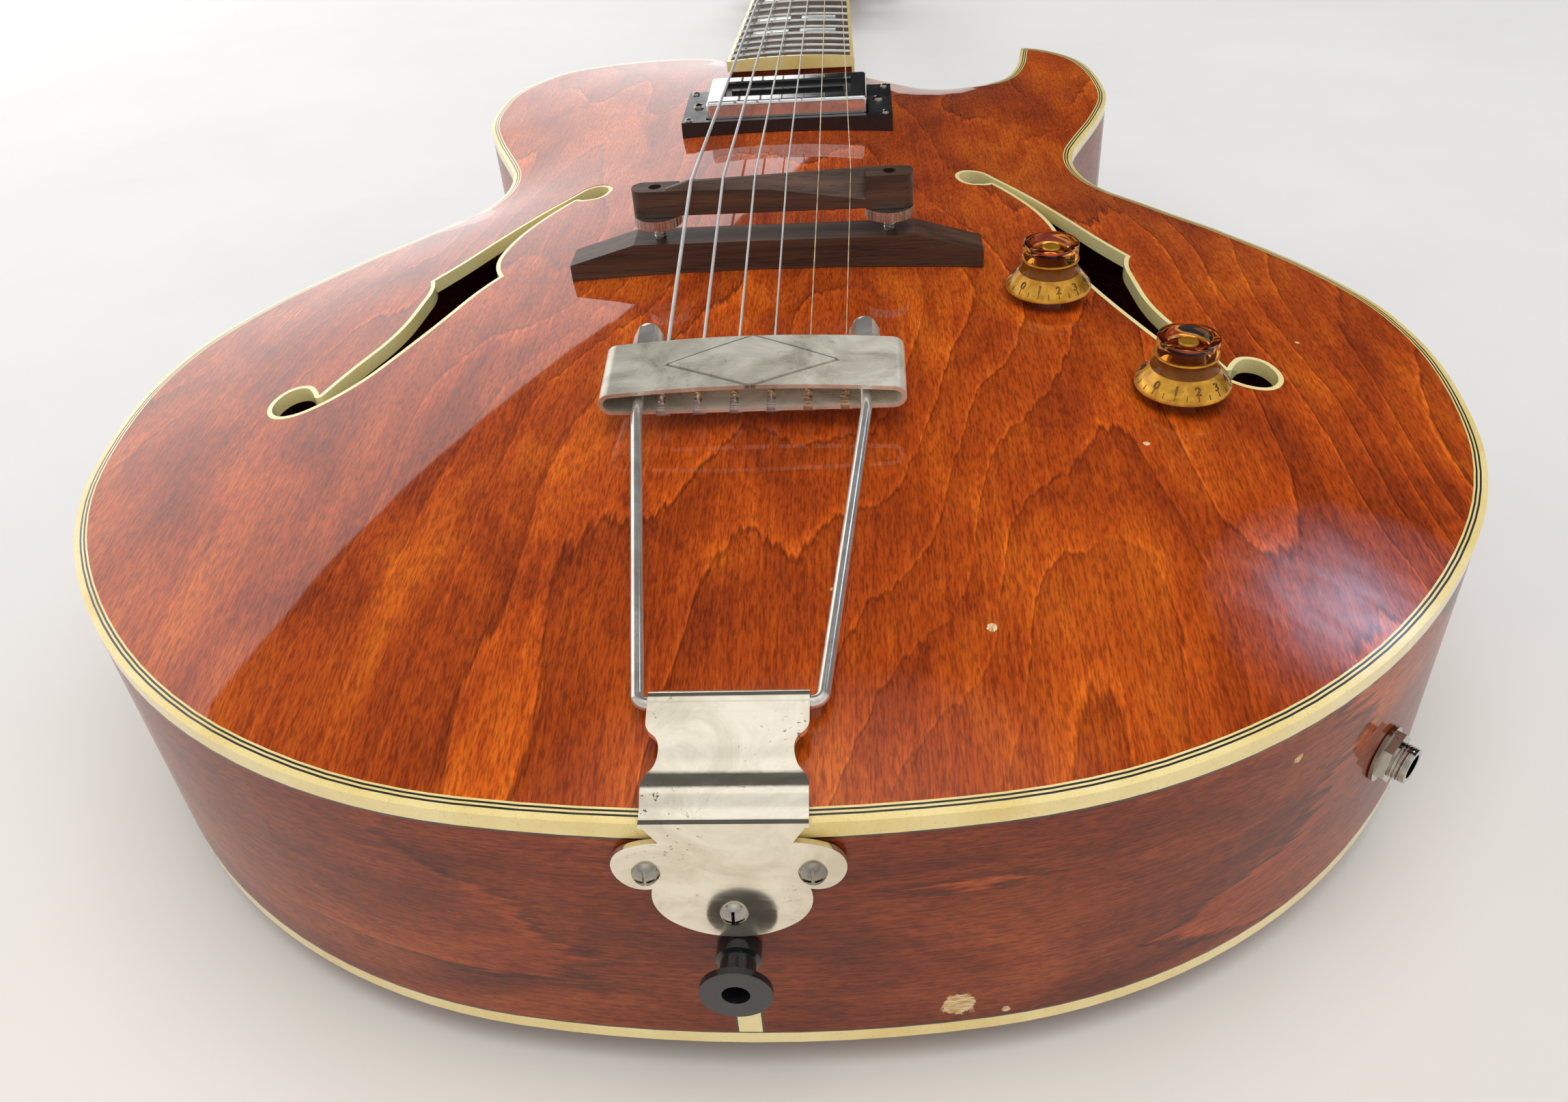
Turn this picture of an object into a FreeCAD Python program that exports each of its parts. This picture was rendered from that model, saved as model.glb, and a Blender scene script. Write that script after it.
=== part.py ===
import FreeCAD, Part
import math
import os

# Single-cutaway archtop guitar lying on its back, in millimetres.
# +X is the treble side, +Y runs from the tail to the headstock, +Z comes out of the top.
# Everything is drawn from the tail end at y = 0 and the top rim plane at z = 0,
# and moved at the end so that the origin is under the middle of the guitar's box.

# Body outline
lower_bout_width = 406.0
waist_width = 235.0
upper_bout_width = 291.0
body_length = 518.0
lower_bout_y = 176.0
waist_y = 345.0
upper_bout_y = 443.0
horn_tip_x = 114.6
horn_tip_y = 512.5
cutaway_x = 66.0
cutaway_y = 449.6
neck_joint_y = 509.0
neck_joint_width = 57.0
rim_depth = 79.0

# Plates, rims and inlaid lines
top_arch = 18.0
back_arch = 11.0
arch_spread = 75.0
arch_recurve = 1.15
top_thickness = 4.5
back_thickness = 4.0
side_thickness = 2.6
binding_width = 1.6
line_width = 0.5
side_line = 0.5
lining_width = 6.4
lining_height = 13.0
seat_gap = 0.1
graft_width = 5.6
tone_bar_x = 54.0
tone_bar_width = 8.0
tone_bar_height = 12.0
tone_bar_ends = (92.0, 424.0)
tail_block_width = 90.0
tail_block_depth = 24.0
neck_block_width = 66.0
neck_block_depth = 58.0

# F-holes: nodes (x, y, heading) of each smooth run of the treble hole's edge
f_binding = 1.5
f_outer_edge = [(66.5, 307.0, 90), (74.0, 315.5, 0), (84.0, 305.5, -55), (109.5, 256.5, -67),
                (120.5, 235.0, -60)]
f_lower_edge = [(120.5, 235.0, -112), (119.0, 206.0, -86), (134.5, 158.5, -70)]
f_eye_edge = [(134.5, 158.5, 65), (142.5, 166.0, 0), (150.0, 156.5, -90), (142.0, 147.3, -180),
              (130.5, 153.0, -223), (109.6, 188.6, -247), (92.6, 230.1, -241)]
f_inner_edge = [(92.6, 230.1, 62), (97.0, 251.0, 94), (80.0, 300.8, 122)]
f_upper_eye = [(80.0, 300.8, 235), (73.0, 298.3, 180), (66.5, 307.0, 90)]

# Scale, neck and fingerboard
scale_length = 628.65
bridge_setback = 1.5
bridge_y = 225.3
neck_pitch = 3.83
board_end_height = 28.7
board_overhang = 8.0
board_thickness = 5.8
board_radius = 305.0
board_nut_width = 43.0
board_end_width = 57.0
board_binding = 1.6
fret_count = 20
fret_width = 2.2
fret_height = 1.1
marker_frets = (3, 5, 7, 9, 12, 15, 17)
marker_depth = 1.2
neck_depth_nut = 15.5
neck_depth_heel = 18.0
heel_half_width = 17.0
heel_length = 15.0
tenon_width = 30.0
tenon_depth = 24.0
tenon_height = 56.0
truss_rod_radius = 2.5
truss_channel_width = 6.0
truss_channel_depth = 10.0
truss_nut_radius = 3.8
truss_nut_length = 10.0
truss_pocket = (12.0, 32.0, 11.0)
truss_setback = 16.0
truss_nut_reach = 14.0
shelf_margin = 1.0
shelf_rim_clear = 20.0

# Nut and headstock
nut_length = 5.0
nut_height = 1.9
head_angle = 14.0
head_length = 184.0
head_thickness = 14.0
head_flare_width = 72.0
head_top_width = 80.0
overlay_thickness = 1.6
cover_thickness = 2.0
cover_length = 44.0
cover_width = 25.0
cover_setback = 2.0

# Tuners
tuner_first_y = 40.0
tuner_pitch = 40.0
tuner_x = 28.0
post_radius = 3.1
post_height = 17.0
post_hole_height = 9.0
post_hole_radius = 0.9
post_waist_height = 4.4
bushing_radius = 4.3
bushing_flange_radius = 5.6
bushing_flange_height = 1.4
bushing_depth = 8.0
running_gap = 0.05
gear_radius = 5.6
gear_thickness = 2.6
worm_radius = 2.6
worm_length = 9.0
mesh_gap = 0.1
housing_wall = 1.0
housing_depth = 9.0
housing_gap = 0.5
button_shaft_radius = 2.0
button_reach = 22.0
button_collar = 3.4
button_length = 15.0
button_width = 19.0
button_thickness = 8.0

# Strings, from the bass side to the treble side
string_radii = (0.58, 0.47, 0.37, 0.29, 0.18, 0.14)
wound_count = 4
nut_spread = 35.5
bridge_spread = 51.0
tail_spread = 49.7
string_clear = 0.06
saddle_string_height = 47.0
nut_action = 1.0
ball_radius = 2.0
ball_length = 3.6
ball_gap = 0.2
slot_rest = 0.4
string_lift = 0.6
post_side_gap = 0.35
string_bends = (1.6, 4.0, 4.0)

# Bridge
bridge_x = 1.7
base_length = 136.0
base_width = 13.0
base_top = 28.0
base_end_height = 6.0
base_flat = 92.0
post_spacing = 75.4
bridge_post_radius = 1.95
post_thread_gap = 0.1
post_recess = 2.0
post_bite = 7.0
wheel_radius = 7.8
wheel_thickness = 3.2
wheel_lift = 4.9
saddle_block_length = 15.2
saddle_depth = 8.4
saddle_corner = 3.8
saddle_bass_height = 8.7
saddle_treble_height = 11.0
saddle_front_middle = 7.9
saddle_front_treble = 3.2
saddle_undercut = 0.4
saddle_crest = 1.6
saddle_stand = 0.3
saddle_compensation = 2.4
saddle_sink = 2.0
saddle_notch = 0.8
wheel_knurl = 28

# Tailpiece
knuckle_y = 25.5
knuckle_lift = 1.5
knuckle_radius = 2.8
rod_radius = 1.5
rod_gap = 0.1
hanger_width = 34.4
hanger_neck_width = 28.2
hanger_notch = (0.76, 0.54, 0.22)  # start, middle and end of its side notches, as shares of knuckle_y
hanger_sheet = 1.3
hanger_stand = 0.3
plate_lobe_width = 49.0
plate_neck_width = 27.4
plate_drop = 34.8
plate_screw_x = 17.4
plate_throat_z = -3.6
plate_lobe_z = -11.0
plate_waist_z = -18.3
plate_screw_z = -13.1
plate_low_screw_z = -26.6
bar_width = 82.5
bar_height = 7.2
bar_crown = 1.8
bar_depth = 21.2
bar_wall = 1.3
bar_y = 122.8
bar_z = 25.2
rod_spread_bar = 60.8
rod_spread_foot = 39.6
rod_foot_bend = 2.6
rod_leg_bend = 12.0
rod_straight = 5.0
lozenge_width = 46.0
lozenge_height = 0.35
slot_width = 2.4
slot_depth = 5.8
acorn_flats = 7.4
acorn_length = 8.4

# Strap pin and screws
pin_z = -40.2
pin_collar_radius = 5.0
pin_collar_length = 4.0
pin_waist_radius = 4.0
pin_waist_length = 5.5
pin_flange_radius = 8.0
pin_flange_length = 3.0
pin_collar_bevel = 0.4
pin_flange_bevel = 1.4
pin_hole_radius = 3.1
pin_hole_depth = 8.0
pin_plug_radius = 2.9
pin_plug_length = 14.0
screw_radius = 1.4
screw_length = 12.0
screw_head_radius = 3.2
screw_slot_width = 0.7
screw_slot_floor = 1.4
small_screw_radius = 0.9
small_head_radius = 1.8
small_head_height = 1.1
small_head_shoulder = 0.8
small_screw_length = 6.0

# Pickup
ring_length = 88.4
ring_width = 39.5
ring_front_y = 360.0
ring_top = 19.3
ring_screw_edge = 1.0
ring_screw_bite = 3.0
pickup_length = 67.3
pickup_width = 33.6
pickup_top = 26.3
pickup_gap = 0.4
pickup_wall = 0.8
pickup_window = (54.0, 20.0)
pickup_window_depth = 1.2
pickup_bottom = 10.0
blade_length = 47.5
blade_width = 2.4
plate_hole_margin = 0.6
foot_top = 6.6
foot_thickness = 1.6
foot_width = 9.0
foot_end = 2.4
height_screw_radius = 1.4
height_head_radius = 2.4
height_head_height = 1.5
height_head_shoulder = 1.0
height_slot_width = 0.6
height_slot_floor = 0.9
height_screw_reach = 8.0
height_screw_x = 38.6

# Controls
volume_x = 117.9
volume_y = 142.5
tone_x = 88.0
tone_y = 199.0
knob_lift = 3.6
knob_radius = 13.1
knob_top_radius = 8.4
knob_height = 14.5
knob_wall = 1.6
pot_radius = 12.0
pot_height = 9.0
pot_drop = 8.2
pot_bushing_radius = 4.7
pot_nut_flats = 12.0
pot_nut_gap = 0.6
pot_sleeve_stand = 1.2
shaft_radius = 3.0
shaft_cover = 4.0
shaft_sink = 2.0
jack_bearing = -37.0
jack_z = -42.5
jack_bore_radius = 3.25
jack_sleeve_radius = 4.7
jack_sleeve_reach = 7.5
jack_nut_flats = 12.5
jack_nut_length = 2.4
jack_washer_radius = 7.6
jack_washer_top = 1.2
jack_flange_radius = 8.5
jack_flange_length = 2.0
jack_flange_gap = 0.35
jack_leaf_length = 24.0
jack_leaf_width = 6.0
jack_leaf_thickness = 1.0
jack_leaf_gap = 1.2
wire_radius = 1.1

V = FreeCAD.Vector
UP = V(0, 0, 1)
parts = {}


def place(shape, position=V(0, 0, 0), axis=UP, angle=0.0):
    """A copy of the shape, turned about the origin and then moved."""
    moved = shape.copy()
    moved.Placement = FreeCAD.Placement(position, FreeCAD.Rotation(axis, angle)).multiply(shape.Placement)
    return moved


def put(shape, frame):
    """A copy of the shape carried into a local frame."""
    moved = shape.copy()
    moved.Placement = frame.multiply(shape.Placement)
    return moved


def mirror(shape):
    """The shape's bass-side twin."""
    return shape.mirror(V(0, 0, 0), V(1, 0, 0))


def block(x0, x1, y0, y1, z0, z1):
    return Part.makeBox(x1 - x0, y1 - y0, z1 - z0, V(x0, y0, z0))


def rod(radius, start, end):
    return Part.makeCylinder(radius, (end - start).Length, start, end - start)


def tube(outer, inner, start, end):
    return rod(outer, start, end).cut(rod(inner, start, end))


def fuse(shapes):
    """One clean solid from overlapping shapes."""
    first = shapes[0].fuse(shapes[1:])
    return first.removeSplitter()


def group(shapes):
    """Separate solids kept side by side."""
    return Part.makeCompound([solid for shape in shapes for solid in shape.Solids])


def unit(heading):
    angle = math.radians(heading)
    return V(math.cos(angle), math.sin(angle), 0)


def tangent_arc(start, direction, end):
    """The arc, or line, that leaves start along direction and reaches end."""
    chord = end - start
    along = V(chord).normalize()
    side = V(-along.y, along.x, 0)
    turn = math.atan2(direction.dot(side), direction.dot(along))
    if abs(turn) < 1e-5:
        return Part.LineSegment(start, end).toShape()
    middle = (start + end) * 0.5 + side * (chord.Length / 2 * math.tan(turn / 2))
    return Part.Arc(start, middle, end).toShape()


def biarc(first, second):
    """Two arcs that join two (x, y, heading) nodes smoothly."""
    p0 = V(first[0], first[1], 0)
    p1 = V(second[0], second[1], 0)
    t0 = unit(first[2])
    t1 = unit(second[2])
    span = p1 - p0
    along = span.dot(t0 + t1)
    bend = 2 * (1 - t0.dot(t1))
    if bend < 1e-9:
        reach = span.dot(span) / (2 * along)
    else:
        reach = (-along + math.sqrt(along * along + bend * span.dot(span))) / bend
    joint = (p0 + p1 + (t0 - t1) * reach) * 0.5
    heading = ((p1 - t1 * reach) - (p0 + t0 * reach)).normalize()
    return [tangent_arc(p0, t0, joint), tangent_arc(joint, heading, p1)]


def smooth_run(nodes):
    return [edge for pair in zip(nodes, nodes[1:]) for edge in biarc(*pair)]


def polygon(points):
    corners = [V(*point) for point in points]
    return Part.makePolygon(corners + corners[:1])


def prism(wire, z0, z1):
    """A flat closed wire drawn at z = 0, raised from z0 to z1."""
    return place(Part.Face(wire), V(0, 0, z0)).extrude(V(0, 0, z1 - z0))


def plate_along_y(wire, y0, y1):
    """A wire whose local (x, y) are the guitar's (x, z), raised from y0 to y1."""
    face = place(Part.Face(wire), V(0, y1, 0), V(1, 0, 0), 90)
    return face.extrude(V(0, y0 - y1, 0))


def hexagon(flats, z0, z1):
    corner = flats / math.sqrt(3)
    turns = [math.radians(60 * index) for index in range(6)]
    return prism(polygon([(corner * math.cos(t), corner * math.sin(t), 0) for t in turns]), z0, z1)


def half_oval(half_width, depth):
    """A closed wire: a straight edge on X and a half oval bulging to +Y."""
    turns = [math.pi * step / 8 for step in range(9)]
    curve = Part.BSplineCurve()
    curve.interpolate([V(half_width * math.cos(t), depth * math.sin(t), 0) for t in turns])
    base = Part.LineSegment(V(-half_width, 0, 0), V(half_width, 0, 0))
    return Part.Wire([curve.toShape(), base.toShape()])


def lathe(profile, frame):
    """A (radius, height) outline turned about its axis, then carried into a frame."""
    face = Part.Face(polygon([(radius, 0, height) for radius, height in profile]))
    return put(face.revolve(V(0, 0, 0), UP, 360), frame)


def bent_wire(points, bends, radius):
    """A round bar along straight runs joined by tangent arcs of the given radii."""
    edges = []
    start = points[0]
    for corner, after, bend in zip(points[1:], points[2:], bends):
        back = (start - corner).normalize()
        ahead = (after - corner).normalize()
        half_turn = (math.pi - back.getAngle(ahead)) / 2
        reach = bend * math.tan(half_turn)
        bulge = bend / math.cos(half_turn) - bend
        entry = corner + back * reach
        leave = corner + ahead * reach
        middle = corner + (back + ahead).normalize() * bulge
        edges.append(Part.LineSegment(start, entry).toShape())
        edges.append(Part.Arc(entry, middle, leave).toShape())
        start = leave
    edges.append(Part.LineSegment(start, points[-1]).toShape())
    path = Part.Wire(edges)
    ring = Part.makeCircle(radius, points[0], points[1] - points[0])
    return path.makePipeShell([Part.Wire([ring])], True, False)


# Body outline and its insets


def body_outline():
    """The closed outer edge, from the tail round the treble side."""
    half = lower_bout_width / 2
    waist = waist_width / 2
    upper = upper_bout_width / 2
    neck = neck_joint_width / 2
    flank = [(0, 0, 0), (0.549 * half, 0.127 * lower_bout_y, 28), (0.909 * half, 0.543 * lower_bout_y, 61),
             (half, lower_bout_y, 90),
             (0.4 * half + 0.6 * waist, 0.34 * lower_bout_y + 0.66 * waist_y, 131),
             (waist, waist_y, 90),
             (0.58 * waist + 0.42 * upper, 0.6 * waist_y + 0.4 * upper_bout_y, 66),
             (upper, upper_bout_y, 90)]
    horn = [flank[-1], (horn_tip_x, horn_tip_y, 157)]
    scoop = [(horn_tip_x, horn_tip_y, 260),
             (0.81 * horn_tip_x + 0.19 * cutaway_x, 0.31 * horn_tip_y + 0.69 * cutaway_y, 248),
             (0.53 * horn_tip_x + 0.47 * cutaway_x, 0.08 * horn_tip_y + 0.92 * cutaway_y, 202),
             (cutaway_x, cutaway_y, 180),
             (0.57 * cutaway_x + 0.43 * neck, 0.85 * cutaway_y + 0.15 * neck_joint_y, 135),
             (neck, 0.4 * cutaway_y + 0.6 * neck_joint_y, 90)]
    shoulder = [(-neck, neck_joint_y, 160), (-0.44 * upper, body_length, 180),
                (-0.84 * upper, 0.8 * body_length + 0.2 * upper_bout_y, 218),
                (-upper, upper_bout_y, 270)]
    bass = [(-x, y, -heading) for x, y, heading in reversed(flank)]
    edges = smooth_run(flank) + smooth_run(horn) + smooth_run(scoop)
    edges.append(Part.LineSegment(V(*scoop[-1][:2], 0), V(neck, neck_joint_y, 0)).toShape())
    edges.append(Part.LineSegment(V(neck, neck_joint_y, 0), V(-neck, neck_joint_y, 0)).toShape())
    edges += smooth_run(shoulder) + smooth_run(bass)
    return Part.Wire(edges)


outline = body_outline()


def inset(distance):
    """The outline drawn in by a distance."""
    if distance == 0:
        return outline
    return outline.makeOffset2D(-distance, 0, False, False, True)


def hoop(outer, inner, z0, z1):
    """A band that follows the outline between two insets."""
    return prism(inset(outer), z0, z1).cut(prism(inset(inner), z0, z1))


# Arched surfaces: a stretched-membrane shape that is zero on the outline

grid_step = 9.0
grid_columns = 2 * math.ceil((lower_bout_width / 2 + grid_step) / grid_step / 2) * 2 + 1
grid_left = -(grid_columns - 1) / 2 * grid_step
grid_front = -2 * grid_step
grid_rows = 2 * math.ceil((body_length + 4 * grid_step) / grid_step / 2) + 1


def membrane():
    """Rows of heights from 0 at the outline to 1 at the middle, negative outside."""
    edge = outline.discretize(Number=360)
    spans = list(zip(edge, edge[1:]))

    def is_inside(x, y):
        crossings = [(y - a.y) / (b.y - a.y) * (b.x - a.x) + a.x for a, b in spans if (a.y > y) != (b.y > y)]
        return len([cross for cross in crossings if cross > x]) % 2 == 1

    rows = []
    free = []
    for row in range(grid_rows):
        y = grid_front + row * grid_step
        heights = []
        for column in range(grid_columns):
            x = grid_left + column * grid_step
            if is_inside(x, y):
                heights.append(0.5)
                free.append((row, column))
            else:
                heights.append(-min(math.hypot(x - p.x, y - p.y) for p in edge) / arch_spread)
        rows.append(heights)
    pull = (grid_step / arch_spread) ** 2
    relax = 1.7
    for sweep in range(160):
        for row, column in free:
            near = rows[row - 1][column] + rows[row + 1][column] + rows[row][column - 1] + rows[row][column + 1]
            target = (near + pull) / (4 + pull)
            rows[row][column] += relax * (target - rows[row][column])
    peak = max(max(heights) for heights in rows)
    return [[math.copysign(abs(h / peak) ** arch_recurve, h) for h in heights] for heights in rows]


arch = membrane()


def arch_at(x, y):
    """The membrane height between grid points."""
    column = (x - grid_left) / grid_step
    row = (y - grid_front) / grid_step
    c = int(column)
    r = int(row)
    low = arch[r][c] * (c + 1 - column) + arch[r][c + 1] * (column - c)
    high = arch[r + 1][c] * (c + 1 - column) + arch[r + 1][c + 1] * (column - c)
    return low * (r + 1 - row) + high * (row - r)


def arched_face(height, z):
    """The membrane, scaled to a height, as one smooth face."""
    points = []
    for row in range(0, grid_rows, 2):
        y = grid_front + row * grid_step
        line = [V(grid_left + column * grid_step, y, z + height * arch[row][column])
                for column in range(0, grid_columns, 2)]
        points.append(line)
    surface = Part.BSplineSurface()
    surface.interpolate(points)
    return surface.toShape()


deep = rim_depth + top_arch + back_arch
under_top = arched_face(top_arch, 0).extrude(V(0, 0, -deep))
over_back = arched_face(-back_arch, -rim_depth).extrude(V(0, 0, deep))


def below_top(shift=0.0):
    """All that lies under the top's outer face, moved by a shift."""
    return place(under_top, V(0, 0, shift))


def above_back(shift=0.0):
    return place(over_back, V(0, 0, shift))


def top_z(x, y):
    return top_arch * arch_at(x, y)


side_top = -top_thickness - side_line
side_foot = -rim_depth + back_thickness + side_line
purfling_edges = [binding_width + line_width * step for step in range(5)]
plate_inset = purfling_edges[-1]
ring_middle_y = ring_front_y + ring_width / 2


# Body pieces


def f_hole_wire():
    runs = [f_outer_edge, f_lower_edge, f_eye_edge, f_inner_edge, f_upper_eye]
    return Part.Wire([edge for run in runs for edge in smooth_run(run)])


def make_top():
    high = top_arch + 10
    slab = prism(inset(plate_inset), -deep / 4, high).common(below_top()).cut(below_top(-top_thickness))
    hole = f_hole_wire()
    cutter = prism(hole, -deep / 4, high)
    lining = cutter.cut(prism(hole.makeOffset2D(-f_binding, 0, False, False, True), -deep / 4, high))
    ring = slab.common(lining)
    parts["f_hole_bindings"] = group([ring, mirror(ring)])
    windows = []
    for half_x, half_y in ((pickup_length / 2, pickup_width / 2), (height_screw_x + foot_end, foot_width / 2)):
        half_x += plate_hole_margin
        half_y += plate_hole_margin
        windows.append(block(-half_x, half_x, ring_middle_y - half_y, ring_middle_y + half_y, -deep / 4, high))
    holes = [rod(pot_bushing_radius + seat_gap, V(x, y, -deep / 4), V(x, y, high))
             for x, y in ((volume_x, volume_y), (tone_x, tone_y))]
    parts["top_plate"] = slab.cut([cutter, mirror(cutter)] + windows + holes)


def make_back():
    low = -rim_depth - back_arch - 5
    slab = prism(inset(binding_width), low, 0).common(above_back())
    parts["back_plate"] = slab.cut(above_back(back_thickness - 2 * seat_gap))
    parts["back_binding"] = hoop(0, binding_width, -rim_depth, -rim_depth + back_thickness)


def make_edge_lines():
    band = hoop(0, plate_inset, -top_thickness, top_arch).common(below_top())
    layers = [band.common(prism(inset(0), -top_thickness, top_arch)
                          .cut(prism(inset(purfling_edges[0]), -top_thickness, top_arch)))]
    for outer, inner in zip(purfling_edges, purfling_edges[1:]):
        layers.append(band.common(hoop(outer, inner, -top_thickness, top_arch)))
    parts["top_binding"] = group(layers[0::2])
    black = layers[1::2]
    black.append(hoop(0, side_thickness, side_top, -top_thickness))
    black.append(hoop(0, binding_width, side_foot - side_line, side_foot))
    parts["purfling_black"] = group(black)


def make_sides():
    ring = hoop(0, side_thickness, side_foot, side_top)
    half = graft_width / 2
    stripe = half + line_width
    near = 2 * tail_block_depth
    parts["end_graft"] = ring.common(block(-half, half, -1, near, side_foot, side_top))
    edges = [ring.common(block(x, x + line_width, -1, near, side_foot, side_top)) for x in (-stripe, half)]
    parts["purfling_black"] = group([parts["purfling_black"]] + edges)
    gap = block(-stripe, stripe, -1, near, side_foot, side_top)
    ring = ring.cut(gap)
    wide = lower_bout_width
    tall = 2 * body_length
    bass_zone = polygon([(-wide, -1, 0), (0, -1, 0), (0, tall, 0), (-wide, tall, 0)])
    tip = V(horn_tip_x, horn_tip_y, 0)
    split = tip + unit(-62) * (3 * side_thickness)
    scoop_zone = polygon([(0, tall, 0), (0, 0.9 * cutaway_y, 0), (horn_tip_x, 0.93 * cutaway_y, 0),
                          (1.09 * horn_tip_x, 0.92 * horn_tip_y, 0), (split.x, split.y, 0), (tip.x, tip.y, 0),
                          (tip.x, tall, 0)])
    bass = ring.common(prism(bass_zone, side_foot, side_top))
    scoop = ring.common(prism(scoop_zone, side_foot, side_top))
    parts["side_bass"] = bass
    parts["side_cutaway"] = scoop
    others = [prism(zone, side_foot, side_top) for zone in (bass_zone, scoop_zone)]
    parts["side_treble"] = ring.cut(others)


def make_inner_wood():
    inner = prism(inset(side_thickness), -rim_depth, top_arch)
    block_top = below_top(-top_thickness - seat_gap).cut(hoop(0, plate_inset, -top_thickness, top_arch))
    block_foot = above_back(back_thickness - seat_gap)
    tail = block(-tail_block_width / 2, tail_block_width / 2, 0, tail_block_depth, -rim_depth, top_arch)
    neck = block(-neck_block_width / 2, neck_block_width / 2, neck_joint_y - neck_block_depth, neck_joint_y,
                 -rim_depth, top_arch)
    tail = tail.common(inner).common(block_top).common(block_foot)
    neck = neck.common(inner).common(block_top).common(block_foot)
    parts["body_blocks"] = group([tail, neck])
    rail = prism(inset(side_thickness), -rim_depth, top_arch).cut(
        prism(inset(side_thickness + lining_width), -rim_depth, top_arch))
    upper = rail.common(block_top).cut(block(-body_length, body_length, -1, 2 * body_length,
                                             -rim_depth, -top_thickness - lining_height))
    lower = rail.common(block_foot).cut(block(-body_length, body_length, -1, 2 * body_length,
                                              -rim_depth + back_thickness + lining_height, top_arch))
    room_x = tail_block_width / 2 + seat_gap
    clear_tail = block(-room_x, room_x, -1, tail_block_depth + seat_gap, -rim_depth - back_arch, top_arch)
    room_x = neck_block_width / 2 + seat_gap
    clear_neck = block(-room_x, room_x, neck_joint_y - neck_block_depth - seat_gap, body_length,
                       -rim_depth - back_arch, top_arch)
    parts["linings"] = group([upper.cut([clear_tail, clear_neck]), lower.cut([clear_tail, clear_neck])])
    bar = block(tone_bar_x - tone_bar_width / 2, tone_bar_x + tone_bar_width / 2, *tone_bar_ends,
                -tone_bar_height, top_arch)
    bar = bar.common(block_top).cut(below_top(-top_thickness - tone_bar_height))
    parts["tone_bars"] = group([bar, mirror(bar)])


# Neck, fingerboard and headstock

fret_span = scale_length * (1 - 2 ** (-fret_count / 12))
board_length = fret_span + board_overhang
nut_y = bridge_y - bridge_setback + scale_length
nut_z = board_end_height - board_length * math.sin(math.radians(neck_pitch))
neck_frame = FreeCAD.Placement(V(0, nut_y, nut_z), FreeCAD.Rotation(V(1, 0, 0), -neck_pitch))
head_frame = neck_frame.multiply(FreeCAD.Placement(V(0, nut_length, -board_thickness),
                                                   FreeCAD.Rotation(V(1, 0, 0), -head_angle)))


def board_half_width(y):
    """Half the fingerboard's width at a local y, where the nut is 0 and the body is negative."""
    share = -y / board_length
    return (board_nut_width + (board_end_width - board_nut_width) * share) / 2


def board_plan(margin, y0, y1):
    points = [(-board_half_width(y0) + margin, y0, 0), (board_half_width(y0) - margin, y0, 0),
              (board_half_width(y1) - margin, y1, 0), (-board_half_width(y1) + margin, y1, 0)]
    return polygon(points)


def crown(height=0.0):
    """The long cylinder whose top is the fingerboard's playing face, raised by a height."""
    centre = -board_radius
    return rod(board_radius + height, V(0, -2 * board_length, centre), V(0, board_length, centre))


def make_fingerboard():
    whole = prism(board_plan(0, -board_length, 0), -board_thickness, 2).common(crown())
    core = prism(board_plan(board_binding, -board_length + board_binding, 1), -board_thickness, 2)
    parts["fingerboard_binding"] = put(whole.cut(core), neck_frame)
    board = whole.common(core)
    frets = []
    markers = []
    for fret in range(1, fret_count + 1):
        y = -scale_length * (1 - 2 ** (-fret / 12))
        before = -scale_length * (1 - 2 ** (-(fret - 1) / 12))
        near = V(0, y - fret_width / 2, 0)
        far = V(0, y + fret_width / 2, 0)
        rim = [Part.Arc(near, V(0, y, fret_height), far).toShape(), Part.LineSegment(far, near).toShape()]
        sweep = 2 * math.degrees((board_half_width(y) - board_binding) / board_radius)
        bead = Part.Face(Part.Wire(rim)).revolve(V(0, 0, -board_radius), V(0, 1, 0), sweep)
        bead = bead.translated(V(0, 0, board_radius))
        frets.append(place(bead, V(0, 0, -board_radius), V(0, 1, 0), -sweep / 2))
        if fret in marker_frets:
            middle = (y + before) / 2
            length = 0.62 * (before - y)
            inner = 0.1 * board_half_width(middle)
            outer = 0.72 * board_half_width(middle)
            for x0, x1 in ((-outer, -inner), (inner, outer)):
                pearl = block(x0, x1, middle - length / 2, middle + length / 2, -board_thickness, 2)
                markers.append(pearl.common(crown()).cut(crown(-marker_depth)))
    parts["fingerboard"] = put(board.cut(markers), neck_frame)
    parts["frets"] = put(group(frets), neck_frame)
    parts["fret_markers"] = put(group(markers), neck_frame)


def head_outline():
    """The headstock's closed edge in its own frame, wider towards its crowned end."""
    root = board_nut_width / 2
    flare = head_flare_width / 2
    top = head_top_width / 2
    edge = [(root, -nut_length, 90), (flare, 0.2 * head_length, 84), (top, 0.86 * head_length, 88)]
    end = [(top, 0.86 * head_length, 140), (0, head_length, 180), (-top, 0.86 * head_length, 220)]
    back = [(-x, y, -heading) for x, y, heading in reversed(edge)]
    base = Part.LineSegment(V(-root, -nut_length, 0), V(root, -nut_length, 0)).toShape()
    return Part.Wire(smooth_run(edge) + smooth_run(end) + smooth_run(back) + [base])


def tuner_spots():
    """(side, y) of each tuner: three up the bass edge, then three down the treble edge."""
    ys = [tuner_first_y + tuner_pitch * index for index in range(3)]
    return [(-1, y) for y in ys] + [(1, y) for y in reversed(ys)]


def neck_section(y, depth):
    wire = half_oval(board_half_width(y), depth)
    return place(wire, V(0, y, -board_thickness), V(1, 0, 0), -90)


truss_start = -(nut_y - neck_joint_y) + truss_setback
truss_z = -board_thickness - truss_channel_depth + truss_rod_radius
truss_end = nut_length + truss_nut_reach


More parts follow.
